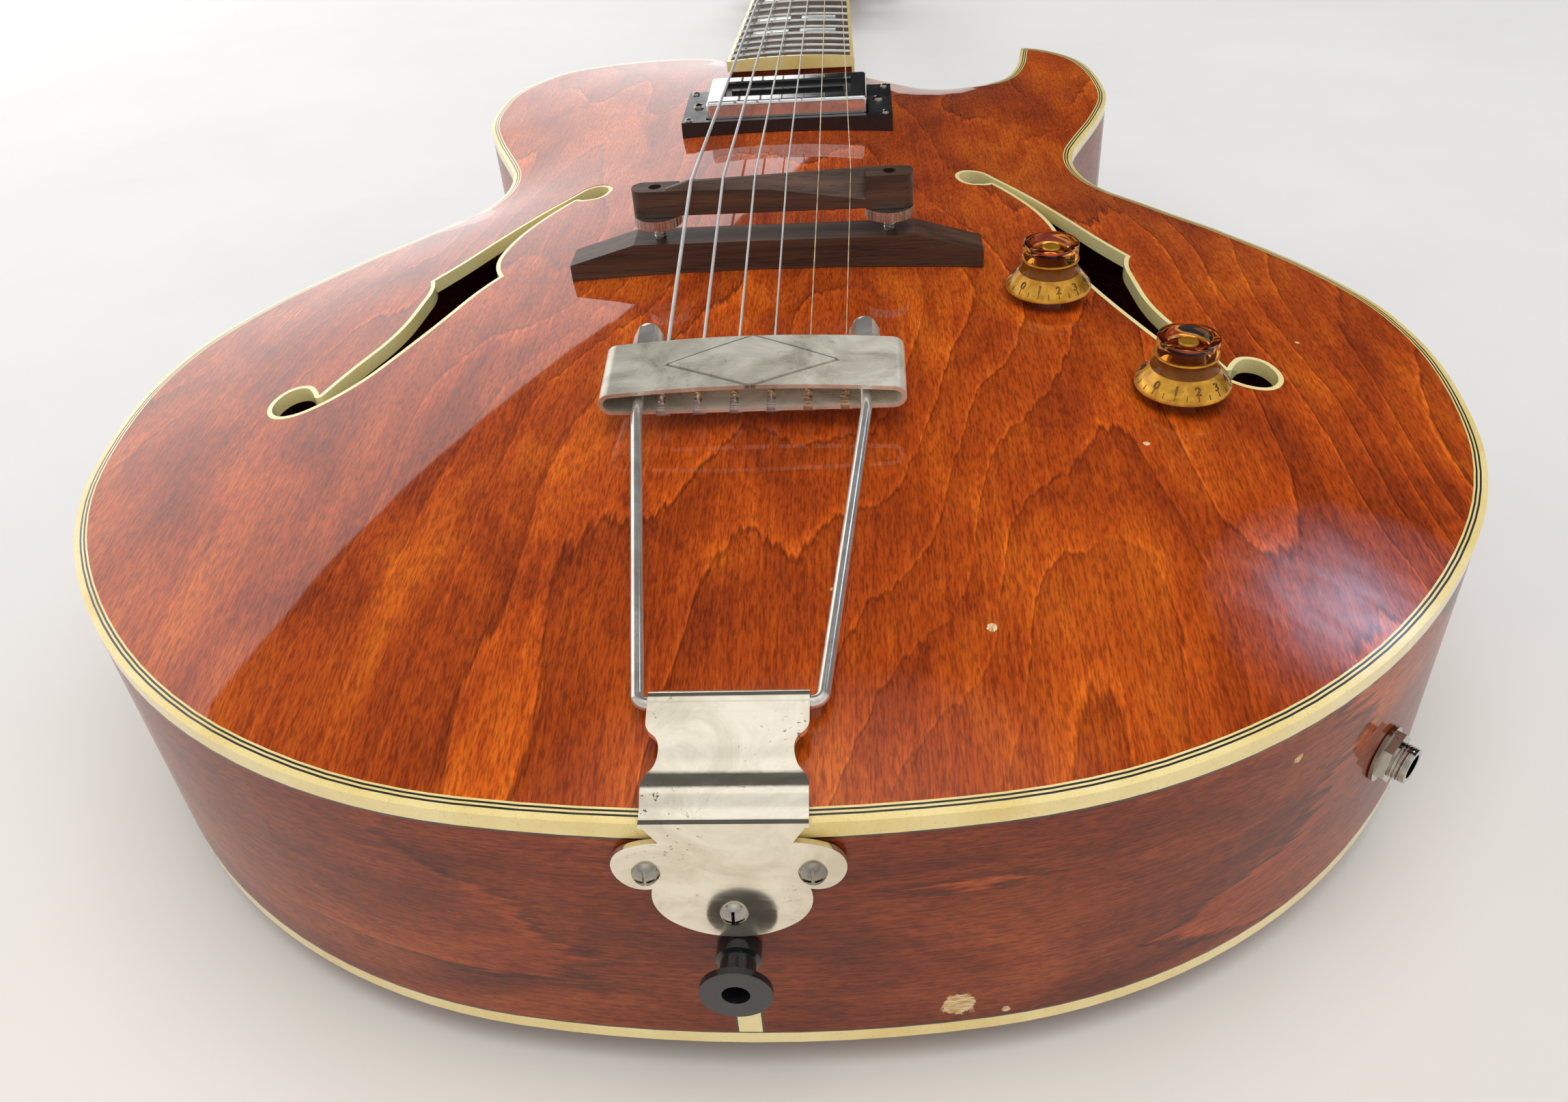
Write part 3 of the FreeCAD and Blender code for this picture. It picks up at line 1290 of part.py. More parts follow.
def make_controls():
    bodies = []
    for name, x, y in (("volume", volume_x, volume_y), ("tone", tone_x, tone_y)):
        z = top_z(x, y)
        can_top = z - pot_drop
        spot = FreeCAD.Placement(V(x, y, 0), FreeCAD.Rotation())
        foot = z + knob_lift
        can = put(rod(pot_radius, V(0, 0, can_top - pot_height), V(0, 0, can_top)), spot)
        spacer = put(rod(0.62 * pot_radius, V(0, 0, can_top), V(0, 0, z)), spot)
        spacer = spacer.common(below_top(-top_thickness - seat_gap))
        sleeve = put(rod(pot_bushing_radius, V(0, 0, can_top), V(0, 0, foot + pot_sleeve_stand)), spot)
        nut = put(hexagon(pot_nut_flats, z - 2, foot - pot_nut_gap), spot).cut(below_top(seat_gap))
        sink = V(0, 0, can_top - shaft_sink)
        bore = rod(shaft_radius + running_gap, sink, V(0, 0, foot + 2 * pot_sleeve_stand))
        bodies.append(fuse([can, spacer, sleeve, nut]).cut(put(bore, spot)))
        shaft = rod(shaft_radius, sink + V(0, 0, seat_gap), V(0, 0, foot + knob_height - shaft_cover))
        parts[name + "_shaft"] = put(shaft, spot)
        hub = shaft_radius + knob_wall
        roof = 0.55 * knob_height
        skirt = [(shaft_radius, knob_wall), (shaft_radius, knob_height - shaft_cover),
                 (0, knob_height - shaft_cover), (0, knob_height),
                 (knob_top_radius - 0.5, knob_height), (knob_top_radius, knob_height - 0.5),
                 (knob_top_radius, 0.6 * knob_height), (0.95 * knob_top_radius, 0.54 * knob_height),
                 (1.1 * knob_top_radius, 0.36 * knob_height), (0.83 * knob_radius, 0.22 * knob_height),
                 (0.96 * knob_radius, 0.09 * knob_height), (knob_radius, 0.03 * knob_height), (knob_radius, 0),
                 (0.9 * knob_radius, 0), (0.8 * knob_top_radius, roof), (hub, roof), (hub, knob_wall)]
        parts[name + "_knob"] = lathe(skirt, FreeCAD.Placement(V(x, y, foot), FreeCAD.Rotation()))
    parts["potentiometers"] = group(bodies)


def rim_point(bearing):
    """The outline point seen from the lower bout's middle at a bearing, and its outward normal."""
    aim = unit(bearing)
    centre = V(0, lower_bout_y, 0)
    ray = Part.LineSegment(centre, centre + aim * lower_bout_width).toShape()
    spot = ray.distToShape(outline)[1][0][1]
    edge = min(outline.Edges, key=lambda item: item.distToShape(Part.Vertex(spot))[0])
    tangent = edge.tangentAt(edge.Curve.parameter(spot))
    normal = V(tangent.y, -tangent.x, 0)
    return spot, normal if normal.dot(aim) > 0 else normal * -1


jack_spot, jack_normal = rim_point(jack_bearing)
jack_frame = FreeCAD.Placement(jack_spot + V(0, 0, jack_z), FreeCAD.Rotation(UP, jack_normal))


def make_jack():
    inner = -side_thickness - jack_flange_gap
    sleeve = rod(jack_sleeve_radius, V(0, 0, inner), V(0, 0, jack_sleeve_reach))
    flange = rod(jack_flange_radius, V(0, 0, inner - jack_flange_length), V(0, 0, inner))
    near = jack_bore_radius + jack_leaf_gap
    far = near + jack_leaf_thickness
    half = jack_leaf_width / 2
    end = inner - jack_leaf_length
    leaf = block(near, far, -half, half, end, inner)
    tip = block(-jack_leaf_thickness, far, -half, half, end - jack_leaf_thickness, end)
    bore = rod(jack_bore_radius, V(0, 0, inner - jack_flange_length - 1), V(0, 0, jack_sleeve_reach + 1))
    body = fuse([sleeve, flange, leaf, tip]).cut(bore)
    washer = tube(jack_washer_radius, jack_sleeve_radius, V(0, 0, 2 * seat_gap), V(0, 0, jack_washer_top))
    nut = hexagon(jack_nut_flats, jack_washer_top, jack_washer_top + jack_nut_length)
    nut = nut.cut(rod(jack_sleeve_radius, V(0, 0, 0), V(0, 0, jack_sleeve_reach)))
    parts["output_jack"] = put(group([body, washer, nut]), jack_frame)
    hole = rod(jack_sleeve_radius + seat_gap, V(0, 0, -jack_sleeve_reach), V(0, 0, jack_sleeve_reach))
    parts["side_treble"] = parts["side_treble"].cut(put(hole, jack_frame))


def make_wiring():
    """Leads inside the body: pickup to volume, volume to tone, volume to jack."""
    low = V(0, 0, -pot_drop - pot_height - wire_radius - seat_gap)
    volume = V(volume_x, volume_y, top_z(volume_x, volume_y)) + low
    tone = V(tone_x, tone_y, top_z(tone_x, tone_y)) + low
    pickup = V(pickup_length / 2 + pickup_gap + wire_radius, ring_middle_y, foot_top - 14)
    leaf_face = jack_bore_radius + jack_leaf_gap + jack_leaf_thickness
    lead_x = leaf_face + wire_radius + seat_gap
    jack_end = jack_frame.multVec(V(lead_x, 0, 2 - side_thickness - jack_leaf_length))
    runs = [[volume + V(-6, 6, 0), volume + V(-18, 30, -10), tone + V(8, -6, -2), tone + V(0, 6, 0)],
            [tone + V(-6, 0, 0), tone + V(-20, 40, -18), pickup + V(6, -50, -10), pickup],
            [volume + V(6, -6, 0), volume + V(16, -26, -10), jack_end + V(-16, 22, 4), jack_end]]
    leads = []
    for points in runs:
        bends = []
        for before, corner, after in zip(points, points[1:], points[2:]):
            turn = (corner - before).getAngle(after - corner)
            bends.append(0.45 * min((corner - before).Length, (after - corner).Length) / math.tan(turn / 2))
        leads.append(bent_wire(points, bends, wire_radius))
    parts["wiring"] = group(leads)


make_top()
make_back()
make_edge_lines()
make_sides()
make_inner_wood()
make_fingerboard()
make_neck()
make_nut_and_cover()
screws = make_tuners()
make_bridge()
make_hanger()
make_tailpiece()
make_strings()
make_strap_pin()
make_pickup()
make_controls()
make_jack()
make_wiring()
screws += hanger_screws()
screws += ring_screws()
parts["wood_screws"] = group(screws)

# The origin lies on the surface that the guitar rests on, under the middle of its box
whole = Part.makeCompound(list(parts.values())).BoundBox
origin = V(0, (whole.YMin + whole.YMax) / 2, -rim_depth - back_arch)
os.makedirs("parts", exist_ok=True)
for name, shape in parts.items():
    moved = shape.translated(V(0, 0, 0) - origin)
    moved.exportStep("parts/%s.step" % name)
    print(name, len(moved.Solids), round(moved.Volume, 1), moved.isValid())
print("origin", [round(value, 3) for value in origin])
print("knuckle", knuckle_y, round(knuckle_z, 4))
jack_face = jack_spot + V(0, 0, jack_z)
print("jack", [round(value, 5) for value in jack_face], [round(value, 6) for value in jack_normal])
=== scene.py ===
# %% [markdown]
# This lesson dresses a hollow archtop guitar. Its exact shapes come from a solid model,
# which is loaded here as a fixed frame: nothing in it is moved, so every finish and every
# small piece made below has to sit where the wood and the metal already are. Blender works in
# metres. Small sizes are written in millimetres and multiplied by MM where they are used.

# %% Load the guitar
import math

import bmesh
import bpy
from mathutils import Matrix, Vector


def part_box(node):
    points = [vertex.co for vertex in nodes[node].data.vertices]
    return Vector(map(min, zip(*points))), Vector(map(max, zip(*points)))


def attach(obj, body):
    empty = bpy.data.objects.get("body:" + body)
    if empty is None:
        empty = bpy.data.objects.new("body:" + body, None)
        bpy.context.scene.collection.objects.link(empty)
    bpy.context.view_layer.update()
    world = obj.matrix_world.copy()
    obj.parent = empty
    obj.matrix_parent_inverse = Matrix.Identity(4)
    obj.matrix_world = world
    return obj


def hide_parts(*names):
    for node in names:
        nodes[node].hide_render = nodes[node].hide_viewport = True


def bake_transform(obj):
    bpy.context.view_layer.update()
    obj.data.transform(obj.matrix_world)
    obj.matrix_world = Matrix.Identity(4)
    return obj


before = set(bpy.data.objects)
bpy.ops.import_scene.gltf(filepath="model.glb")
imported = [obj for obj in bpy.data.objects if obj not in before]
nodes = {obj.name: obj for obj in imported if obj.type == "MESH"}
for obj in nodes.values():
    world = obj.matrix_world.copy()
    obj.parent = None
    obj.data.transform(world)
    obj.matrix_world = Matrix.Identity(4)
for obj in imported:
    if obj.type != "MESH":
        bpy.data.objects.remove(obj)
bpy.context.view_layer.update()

MM = 0.001

# %% [markdown]
# The picture is taken from just behind the tail, close to the strap pin, with a wide lens.
# That makes the tail look huge and the neck small. The place and the turn of the camera were
# worked out from known sizes on the guitar, so they are written here as plain numbers.

# %% Camera behind the tail
camera_place = Vector((0.030063, -0.676277, 0.287709))
camera_turn = (52.35, 3.30, 2.261)
camera = bpy.data.objects.new("camera", bpy.data.cameras.new("camera"))
bpy.context.scene.collection.objects.link(camera)
camera.location = camera_place
camera.rotation_euler = [math.radians(degrees) for degrees in camera_turn]
camera.data.sensor_fit = "HORIZONTAL"
camera.data.sensor_width = 36.0
camera.data.lens = 28.96
camera.data.clip_start = 10 * MM
bpy.context.scene.camera = camera
bpy.context.scene.view_settings.view_transform = "Standard"
pin_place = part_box("strap_pin")[1]
print("camera is", round((camera_place - pin_place).length, 3), "m from the strap pin")

# %% [markdown]
# A finish is a small network of shader nodes, and a few helpers keep each recipe short. The
# first ones make a material and give it places to work with: the object's own coordinates,
# stretched and shifted, their three parts, or the distance from one spot. Object coordinates
# are in metres here, so a stretch of 1000 along one axis gives a pattern about a millimetre
# fine in that direction.

# %% Helpers for a material and its places
def finish(name, **values):
    """A new material, and the constant values of its surface."""
    material = bpy.data.materials.new(name)
    material.use_nodes = True
    surface = material.node_tree.nodes["Principled BSDF"]
    for socket, value in values.items():
        surface.inputs[socket.replace("_", " ")].default_value = value
    return material, material.node_tree, surface


def stretched(tree, x, y, z, shift=(0.0, 0.0, 0.0)):
    """The object's own coordinates, multiplied along each axis."""
    own = tree.nodes.new("ShaderNodeTexCoord")
    mapping = tree.nodes.new("ShaderNodeMapping")
    mapping.inputs["Location"].default_value = shift
    mapping.inputs["Scale"].default_value = (x, y, z)
    tree.links.new(own.outputs["Object"], mapping.inputs["Vector"])
    return mapping.outputs["Vector"]


def evenly(tree, scale, shift=(0.0, 0.0, 0.0)):
    """The object's own coordinates, multiplied by one number."""
    return stretched(tree, scale, scale, scale, shift)


def split(tree, vector):
    """The x, y and z of a vector."""
    parts = tree.nodes.new("ShaderNodeSeparateXYZ")
    tree.links.new(vector, parts.inputs["Vector"])
    return tuple(parts.outputs)


def apart(tree, spot):
    """How far a point lies from a spot, in metres."""
    made = tree.nodes.new("ShaderNodeVectorMath")
    made.operation = "DISTANCE"
    made.inputs[1].default_value = spot
    tree.links.new(evenly(tree, 1.0), made.inputs[0])
    return made.outputs["Value"]


print("helpers for places ready")

# %% [markdown]
# The other helpers make the patterns: noise, a colour ramp, a sum, a weighted sum, a mix of
# two colours, and a bump that tilts the light on the surface. Most of them take a constant
# or the output of another node, so a recipe can be nested like a plain formula. A Mix node
# lists its sockets for every kind of data, and the numbers below pick those for colours.

# %% Helpers for patterns
mix_sockets = (0, 6, 7)
mix_result = 2


def fed(tree, socket, value):
    """Link a socket to another node's output, or set it to a constant."""
    if isinstance(value, bpy.types.NodeSocket):
        tree.links.new(value, socket)
    else:
        socket.default_value = value


def noise(tree, vector, detail=3.0, roughness=0.5, distortion=0.0):
    """Soft noise of about one blob for each unit of the vector."""
    made = tree.nodes.new("ShaderNodeTexNoise")
    made.inputs["Scale"].default_value = 1.0
    made.inputs["Detail"].default_value = detail
    made.inputs["Roughness"].default_value = roughness
    made.inputs["Distortion"].default_value = distortion
    tree.links.new(vector, made.inputs["Vector"])
    return made.outputs["Fac"]


def ramp(tree, factor, *stops):
    """Colours, or grey levels, at places from 0 to 1."""
    made = tree.nodes.new("ShaderNodeValToRGB")
    elements = made.color_ramp.elements
    while len(elements) < len(stops):
        elements.new(0.5)
    for element, (place, colour) in zip(elements, stops):
        element.position = place
        rgb = (colour, colour, colour) if isinstance(colour, float) else colour
        element.color = (*rgb, 1.0)
    tree.links.new(factor, made.inputs["Fac"])
    return made.outputs["Color"]


def sums(tree, operation, first, second=0.0, third=0.0):
    """One step of arithmetic."""
    made = tree.nodes.new("ShaderNodeMath")
    made.operation = operation
    for socket, value in zip(made.inputs, (first, second, third)):
        fed(tree, socket, value)
    return made.outputs["Value"]


def weighted(tree, *terms):
    """The sum of some values, each times its weight."""
    total = 0.0
    for value, weight in terms:
        total = sums(tree, "MULTIPLY_ADD", value, weight, total)
    return total


def mixed(tree, factor, first, second, blend="MIX"):
    """Two colours, mixed by the given rule."""
    made = tree.nodes.new("ShaderNodeMix")
    made.data_type = "RGBA"
    made.blend_type = blend
    for index, value in zip(mix_sockets, (factor, first, second)):
        fed(tree, made.inputs[index], (*value, 1.0) if isinstance(value, tuple) else value)
    return made.outputs[mix_result]


def bumped(tree, surface, height, strength, rise=0.2 * MM, coat=False):
    """Tilt the surface, and its clear coat if it has one, as if it rose with height."""
    made = tree.nodes.new("ShaderNodeBump")
    made.inputs["Strength"].default_value = strength
    made.inputs["Distance"].default_value = rise
    tree.links.new(height, made.inputs["Height"])
    tree.links.new(made.outputs["Normal"], surface.inputs["Normal"])
    if coat:
        tree.links.new(made.outputs["Normal"], surface.inputs["Coat Normal"])


print("helpers for patterns ready")

# %% [markdown]
# Old lacquer flakes off where it is knocked, and pale wood shows. Each chip is a spot with a
# rough radius. The share of the radius that is left at a point, plus a fine noise, is cut at
# a steep step, so the edge comes out torn instead of round.

# %% Chips in the lacquer
def flaked(tree, chips):
    """1 where the lacquer has come off, at spots in metres with radii in millimetres."""
    nearest = 0.0
    for spot, radius in chips:
        inside = sums(tree, "MULTIPLY_ADD", apart(tree, spot), -1 / (radius * MM), 1.0)
        nearest = sums(tree, "MAXIMUM", nearest, inside)
    fine = noise(tree, evenly(tree, 420), detail=4, roughness=0.7)
    edge = sums(tree, "MULTIPLY_ADD", fine, 1.1, -0.55)
    within = ramp(tree, nearest, (0.0, 0.0), (0.02, 1.0))
    torn = sums(tree, "MULTIPLY", sums(tree, "ADD", nearest, edge), within)
    return ramp(tree, torn, (0.3, 0.0), (0.4, 1.0))


top_chips = [((0.0576, -0.460, 0.0977), 1.8), ((0.1039, -0.3924, 0.1017), 1.3),
             ((0.1604, -0.332, 0.0969), 1.0), ((0.0216, -0.4486, 0.1003), 0.9)]
side_chips = [((0.0491, -0.5069, 0.0221), 6.0), ((0.0602, -0.5052, 0.0176), 1.7),
              ((0.1235, -0.4807, 0.0758), 1.9)]
print("chips:", len(top_chips), "on the top and", len(side_chips), "on the sides")

# %% [markdown]
# The body is pressed maple under an orange-brown lacquer. Four things make it read as wood:
# soft blotches where the stain sank in, long fibres, short dark pores by the thousand, and the
# growth lines. Growth lines on such a sheet are contours of one wavy field, so a noise that is
# stretched along the grain is multiplied and cut by its fraction. Each cut is a dark line with
# a pale band beside it, and the lines close into pointed arches by themselves. A comb of fine
# stripes shifts them a little, fibre by fibre, which gives their torn edge.

# %% Varnished maple
def varnished(name, crosses, shift, shades, figure, gloss, coat, chips=()):
    """Lacquered maple; crosses holds 1 for each axis that lies across the grain."""
    material, tree, surface = finish(name, Roughness=0.6, Specular_IOR_Level=0.1,
                                     Coat_Weight=coat, Coat_Roughness=gloss, Coat_IOR=1.5)

    def laid(across, along):
        return stretched(tree, *(across if crossing else along for crossing in crosses), shift)

    blotch = noise(tree, laid(38, 16), detail=6, roughness=0.62, distortion=0.7)
    fibre = noise(tree, laid(1100, 24), roughness=0.6)
    tone = weighted(tree, (blotch, 0.7), (fibre, 0.3))
    colour = ramp(tree, tone, *zip((0.36, 0.5, 0.64), shades))
    field = noise(tree, laid(8.5, 2.3), detail=2, roughness=0.4)
    comb = noise(tree, laid(300, 20), roughness=0.6)
    lines = sums(tree, "FRACT", weighted(tree, (field, figure), (comb, 0.34)))
    ring = ramp(tree, lines, (0.0, 0.50), (0.03, 0.52), (0.06, (1.65, 1.85, 2.0)),
                (0.15, 1.20), (0.5, 1.04), (1.0, 0.86))
    treble_side = split(tree, evenly(tree, 1.0))[0]
    patches = noise(tree, laid(14, 5), detail=2)
    showing = weighted(tree, (patches, 1.0), (treble_side, 0.7))
    amount = ramp(tree, showing, (0.38, 0.14), (0.62, 0.95))
    colour = mixed(tree, amount, colour, mixed(tree, 1.0, colour, ring, "MULTIPLY"))
    pores = noise(tree, laid(2100, 290), detail=2, roughness=0.6)
    pricked = ramp(tree, pores, (0.43, 1.2), (0.63, (0.44, 0.36, 0.36)))
    colour = mixed(tree, 0.65, colour, pricked, "MULTIPLY")
    if chips:
        flake = flaked(tree, chips)
        splinters = noise(tree, laid(1600, 300))
        bare = ramp(tree, splinters, (0.35, (0.5, 0.26, 0.09)), (0.65, (0.86, 0.68, 0.40)))
        colour = mixed(tree, flake, colour, bare)
        coat_left = sums(tree, "MULTIPLY_ADD", flake, -coat, coat)
        tree.links.new(coat_left, surface.inputs["Coat Weight"])
    tree.links.new(colour, surface.inputs["Base Color"])
    ripple = noise(tree, stretched(tree, 34, 26, 24, shift), detail=2)
    bumped(tree, surface, ripple, 0.06, rise=0.4 * MM, coat=True)
    return material


print("maple recipe ready")

# %% [markdown]
# The recipe is used four times. The top is lightest and has the most growth lines. The back,
# the sides and the neck are darker, and each takes its own part of the noise, as if cut from
# another sheet. On the sides the grain runs along the rim, on the neck along its length.

# %% Maple for the top, the back, the sides and the neck
top_shades = [(0.24, 0.031, 0.003), (0.42, 0.062, 0.004), (0.60, 0.120, 0.007)]
back_shades = [(0.10, 0.015, 0.004), (0.23, 0.038, 0.007), (0.36, 0.080, 0.014)]
side_shades = [(0.125, 0.017, 0.003), (0.23, 0.035, 0.005), (0.35, 0.068, 0.010)]
neck_shades = [(0.07, 0.012, 0.005), (0.16, 0.03, 0.009), (0.26, 0.06, 0.016)]
top_wood = varnished(
    "varnished_top", crosses=(1, 0, 0), shift=(3.1, 0.4, 0.0), shades=top_shades, figure=21.0,
    gloss=0.03, coat=1.0, chips=top_chips)
back_wood = varnished(
    "varnished_back", crosses=(1, 0, 0), shift=(9.7, 2.2, 0.0), shades=back_shades, figure=14.0,
    gloss=0.05, coat=1.0)
side_wood = varnished(
    "varnished_sides", crosses=(0, 0, 1), shift=(1.3, 5.1, 2.7), shades=side_shades, figure=12.0,
    gloss=0.05, coat=0.55, chips=side_chips)
neck_wood = varnished(
    "varnished_neck", crosses=(1, 0, 1), shift=(6.1, 0.7, 4.2), shades=neck_shades, figure=9.0,
    gloss=0.05, coat=0.8)
print("made", top_wood.name, back_wood.name, side_wood.name, neck_wood.name)

# %% [markdown]
# Bare wood shows only through the f-holes: blocks, linings and bars are pale spruce and
# mahogany. The bridge and the fingerboard are oiled rosewood, nearly black brown with redder
# streaks along their length and open pores that catch a little light.

# %% Bare wood and rosewood
def plain_wood(name, streaks, dark, light, roughness, pore_depth):
    """Bare wood; streaks holds the stretch of its figure along each axis."""
    material, tree, surface = finish(name, Roughness=roughness)
    streak = noise(tree, stretched(tree, *streaks), detail=5, roughness=0.62, distortion=0.3)
    colour = ramp(tree, streak, (0.34, dark), (0.66, light))
    finer = [7 * part for part in streaks]
    pores = noise(tree, stretched(tree, *finer, shift=(2, 5, 1)), detail=2)
    holes = ramp(tree, pores, (0.55, 1.0), (0.7, 0.35))
    tree.links.new(mixed(tree, 0.75, colour, holes, "MULTIPLY"), surface.inputs["Base Color"])
    bumped(tree, surface, holes, pore_depth)
    return material


inner_wood = plain_wood(
    "bare_inner_wood", streaks=(160, 12, 160), dark=(0.20, 0.11, 0.05), light=(0.38, 0.24, 0.12),
    roughness=0.8, pore_depth=0.2)
bridge_wood = plain_wood(
    "oiled_rosewood_bridge", streaks=(12, 240, 240), dark=(0.034, 0.018, 0.011),
    light=(0.125, 0.060, 0.034), roughness=0.42, pore_depth=0.35)
board_wood = plain_wood(
    "oiled_rosewood_board", streaks=(240, 12, 240), dark=(0.020, 0.010, 0.006),
    light=(0.085, 0.036, 0.020), roughness=0.45, pore_depth=0.35)
print("made", inner_wood.name, bridge_wood.name, board_wood.name)

# %% [markdown]
# The binding is cream plastic that has yellowed unevenly. Thin black lines beside it are
# fibre strip. Both lie under the same lacquer as the wood, so they have a clear coat too. The
# nut, the tuner buttons, the inlays and the leads inside follow the same recipe: a cloud
# between two colours, a few darker specks, and a faint ripple.

# %% Binding, black lines, pearl and bone
def cast_plastic(name, low, high, scale, roughness, coat):
    """Clouded plastic, bone or pearl, with specks much finer than its clouds."""
    material, tree, surface = finish(name, Roughness=roughness, Coat_Weight=coat,
                                     Coat_Roughness=0.06)
    cloud = noise(tree, evenly(tree, scale), detail=5, roughness=0.6)
    specks = noise(tree, evenly(tree, 40 * scale), detail=2)
    clouded = ramp(tree, cloud, (0.35, low), (0.65, high))
    speckled = ramp(tree, specks, (0.6, 1.0), (0.78, 0.55))
    colour = mixed(tree, 0.5, clouded, speckled, "MULTIPLY")
    tree.links.new(colour, surface.inputs["Base Color"])
    ripple = noise(tree, evenly(tree, 9 * scale), detail=2)
    bumped(tree, surface, ripple, 0.05)
    return material


cream = cast_plastic(
    "yellowed_binding", low=(0.86, 0.65, 0.22), high=(0.98, 0.81, 0.38), scale=38, roughness=0.34,
    coat=0.8)
# The f-hole binding is the same cream, painted paler: painted light for the light on its inner
# walls.
painted_lit_cream = cast_plastic(
    "f_hole_binding", low=(0.98, 0.80, 0.33), high=(1.0, 0.90, 0.47), scale=38, roughness=0.34,
    coat=0.8)
black_line = cast_plastic(
    "black_fibre_line", low=(0.008, 0.008, 0.007), high=(0.02, 0.019, 0.016), scale=60,
    roughness=0.4, coat=0.8)
bone = cast_plastic(
    "bone_nut", low=(0.72, 0.66, 0.52), high=(0.84, 0.80, 0.68), scale=120, roughness=0.35,
    coat=0.2)
button_cream = cast_plastic(
    "pearly_buttons", low=(0.60, 0.54, 0.40), high=(0.82, 0.78, 0.64), scale=130, roughness=0.25,
    coat=0.6)
pearl = cast_plastic(
    "pearl_inlay", low=(0.50, 0.54, 0.55), high=(0.86, 0.84, 0.80), scale=160, roughness=0.2,
    coat=0.7)
lead_cover = cast_plastic(
    "braided_lead", low=(0.09, 0.085, 0.08), high=(0.22, 0.21, 0.20), scale=900, roughness=0.6,
    coat=0.0)
print("made seven cast finishes")

# %% [markdown]
# The tailpiece is nickel-plated steel, brushed across its width and worn by decades of hands:
# warm grey, with soft stains, tiny pits where the plating has lifted, and streaks that blur
# the reflections in one direction only. Roughness and bump both come from the same streaks.
# Other metals follow the recipe with their own colour, gloss and share of pits.

# %% Nickel, steel, chrome and brass
pit_brown = (0.07, 0.05, 0.035)


def worn_nickel(name, brush, low, high, gloss, pits, depth, metal=1.0):
    """Worn plating; brush stretches its streaks, gloss is its least and its most roughness."""
    material, tree, surface = finish(name, Metallic=metal)
    streak = noise(tree, stretched(tree, *brush), detail=4, roughness=0.6)
    stain = noise(tree, stretched(tree, 55, 70, 70, shift=(1, 6, 2)), detail=6,
                  roughness=0.68, distortion=0.8)
    colour = ramp(tree, stain, (0.34, low), (0.6, high))
    spots = ramp(tree, noise(tree, evenly(tree, 620), roughness=0.7),
                 (0.62, 0.0), (0.68, 1.0))
    crowds = ramp(tree, noise(tree, evenly(tree, 48, shift=(8, 3, 5)), detail=2),
                  (0.46, 0.0), (0.64, 1.0))
    pitted = sums(tree, "MULTIPLY", sums(tree, "MULTIPLY", spots, crowds), pits)
    tree.links.new(mixed(tree, pitted, colour, pit_brown), surface.inputs["Base Color"])
    blurred = ramp(tree, weighted(tree, (streak, 0.5), (stain, 0.5)),
                   (0.35, gloss[0]), (0.65, gloss[1]))
    rough = weighted(tree, (blurred, 1.0), (pitted, 0.3))
    tree.links.new(rough, surface.inputs["Roughness"])
    bumped(tree, surface, sums(tree, "SUBTRACT", streak, pitted), depth, rise=0.1 * MM)
    return material


hanger_nickel = worn_nickel(
    "brushed_hanger", brush=(14, 950, 950), low=(0.70, 0.63, 0.49), high=(0.92, 0.85, 0.70),
    gloss=(0.05, 0.17), pits=1.0, depth=0.03, metal=0.9)
bar_nickel = worn_nickel(
    "brushed_crossbar", brush=(40, 3200, 3200), low=(0.56, 0.52, 0.41), high=(0.93, 0.88, 0.74),
    gloss=(0.24, 0.42), pits=0.4, depth=0.08, metal=0.5)
bright_nickel = worn_nickel(
    "bright_nickel", brush=(300, 300, 300), low=(0.64, 0.60, 0.53), high=(0.84, 0.81, 0.75),
    gloss=(0.12, 0.26), pits=0.5, depth=0.04, metal=0.75)
plain_steel = worn_nickel(
    "turned_steel", brush=(200, 900, 200), low=(0.46, 0.45, 0.43), high=(0.62, 0.61, 0.58),
    gloss=(0.2, 0.4), pits=0.4, depth=0.08)
fret_nickel = worn_nickel(
    "fret_wire", brush=(900, 80, 80), low=(0.62, 0.60, 0.55), high=(0.78, 0.76, 0.70),
    gloss=(0.14, 0.28), pits=0.3, depth=0.05)
screw_nickel = worn_nickel(
    "screw_nickel", brush=(240, 240, 240), low=(0.28, 0.25, 0.21), high=(0.48, 0.44, 0.38),
    gloss=(0.05, 0.14), pits=0.9, depth=0.05)
chrome = worn_nickel(
    "chromed_cover", brush=(20, 700, 700), low=(0.70, 0.70, 0.70), high=(0.84, 0.84, 0.83),
    gloss=(0.05, 0.14), pits=0.5, depth=0.03)
brass = worn_nickel(
    "brass_winding", brush=(700, 700, 700), low=(0.46, 0.30, 0.12), high=(0.78, 0.56, 0.26),
    gloss=(0.16, 0.34), pits=0.6, depth=0.05)
print("made eight metal finishes")

# %% [markdown]
# The raised lozenge on the crossbar has a painted shade line along its foot, with a thin painted
# highlight just inside it. Two distances from its middle, each divided by half a diagonal, add
# up to one on that outline. The bar leans, so they are measured along its own slope, and the
# line is kept to the upper face. The treble half is painted lighter, as painted light for the
# brighter light that falls on that side.

# %% Painted shade and light on the crossbar
bar_front = Vector((0.0, -0.3873, 0.1152))
bar_slope = math.radians(9.36)
lozenge_half = Vector((23.0 * MM, 10.6 * MM))
lozenge_middle = 10.3 * MM
upper_face = 4.2 * MM
tree = bar_nickel.node_tree
surface = tree.nodes["Principled BSDF"]
plating = surface.inputs["Base Color"].links[0].from_socket
x, y, z = split(tree, evenly(tree, 1.0, shift=-bar_front))
inwards = weighted(tree, (y, math.cos(bar_slope)), (z, math.sin(bar_slope)))
upwards = weighted(tree, (z, math.cos(bar_slope)), (y, -math.sin(bar_slope)))
along = sums(tree, "DIVIDE", sums(tree, "ABSOLUTE", x), lozenge_half.x)
off_middle = sums(tree, "ABSOLUTE", sums(tree, "SUBTRACT", inwards, lozenge_middle))
across = sums(tree, "DIVIDE", off_middle, lozenge_half.y)
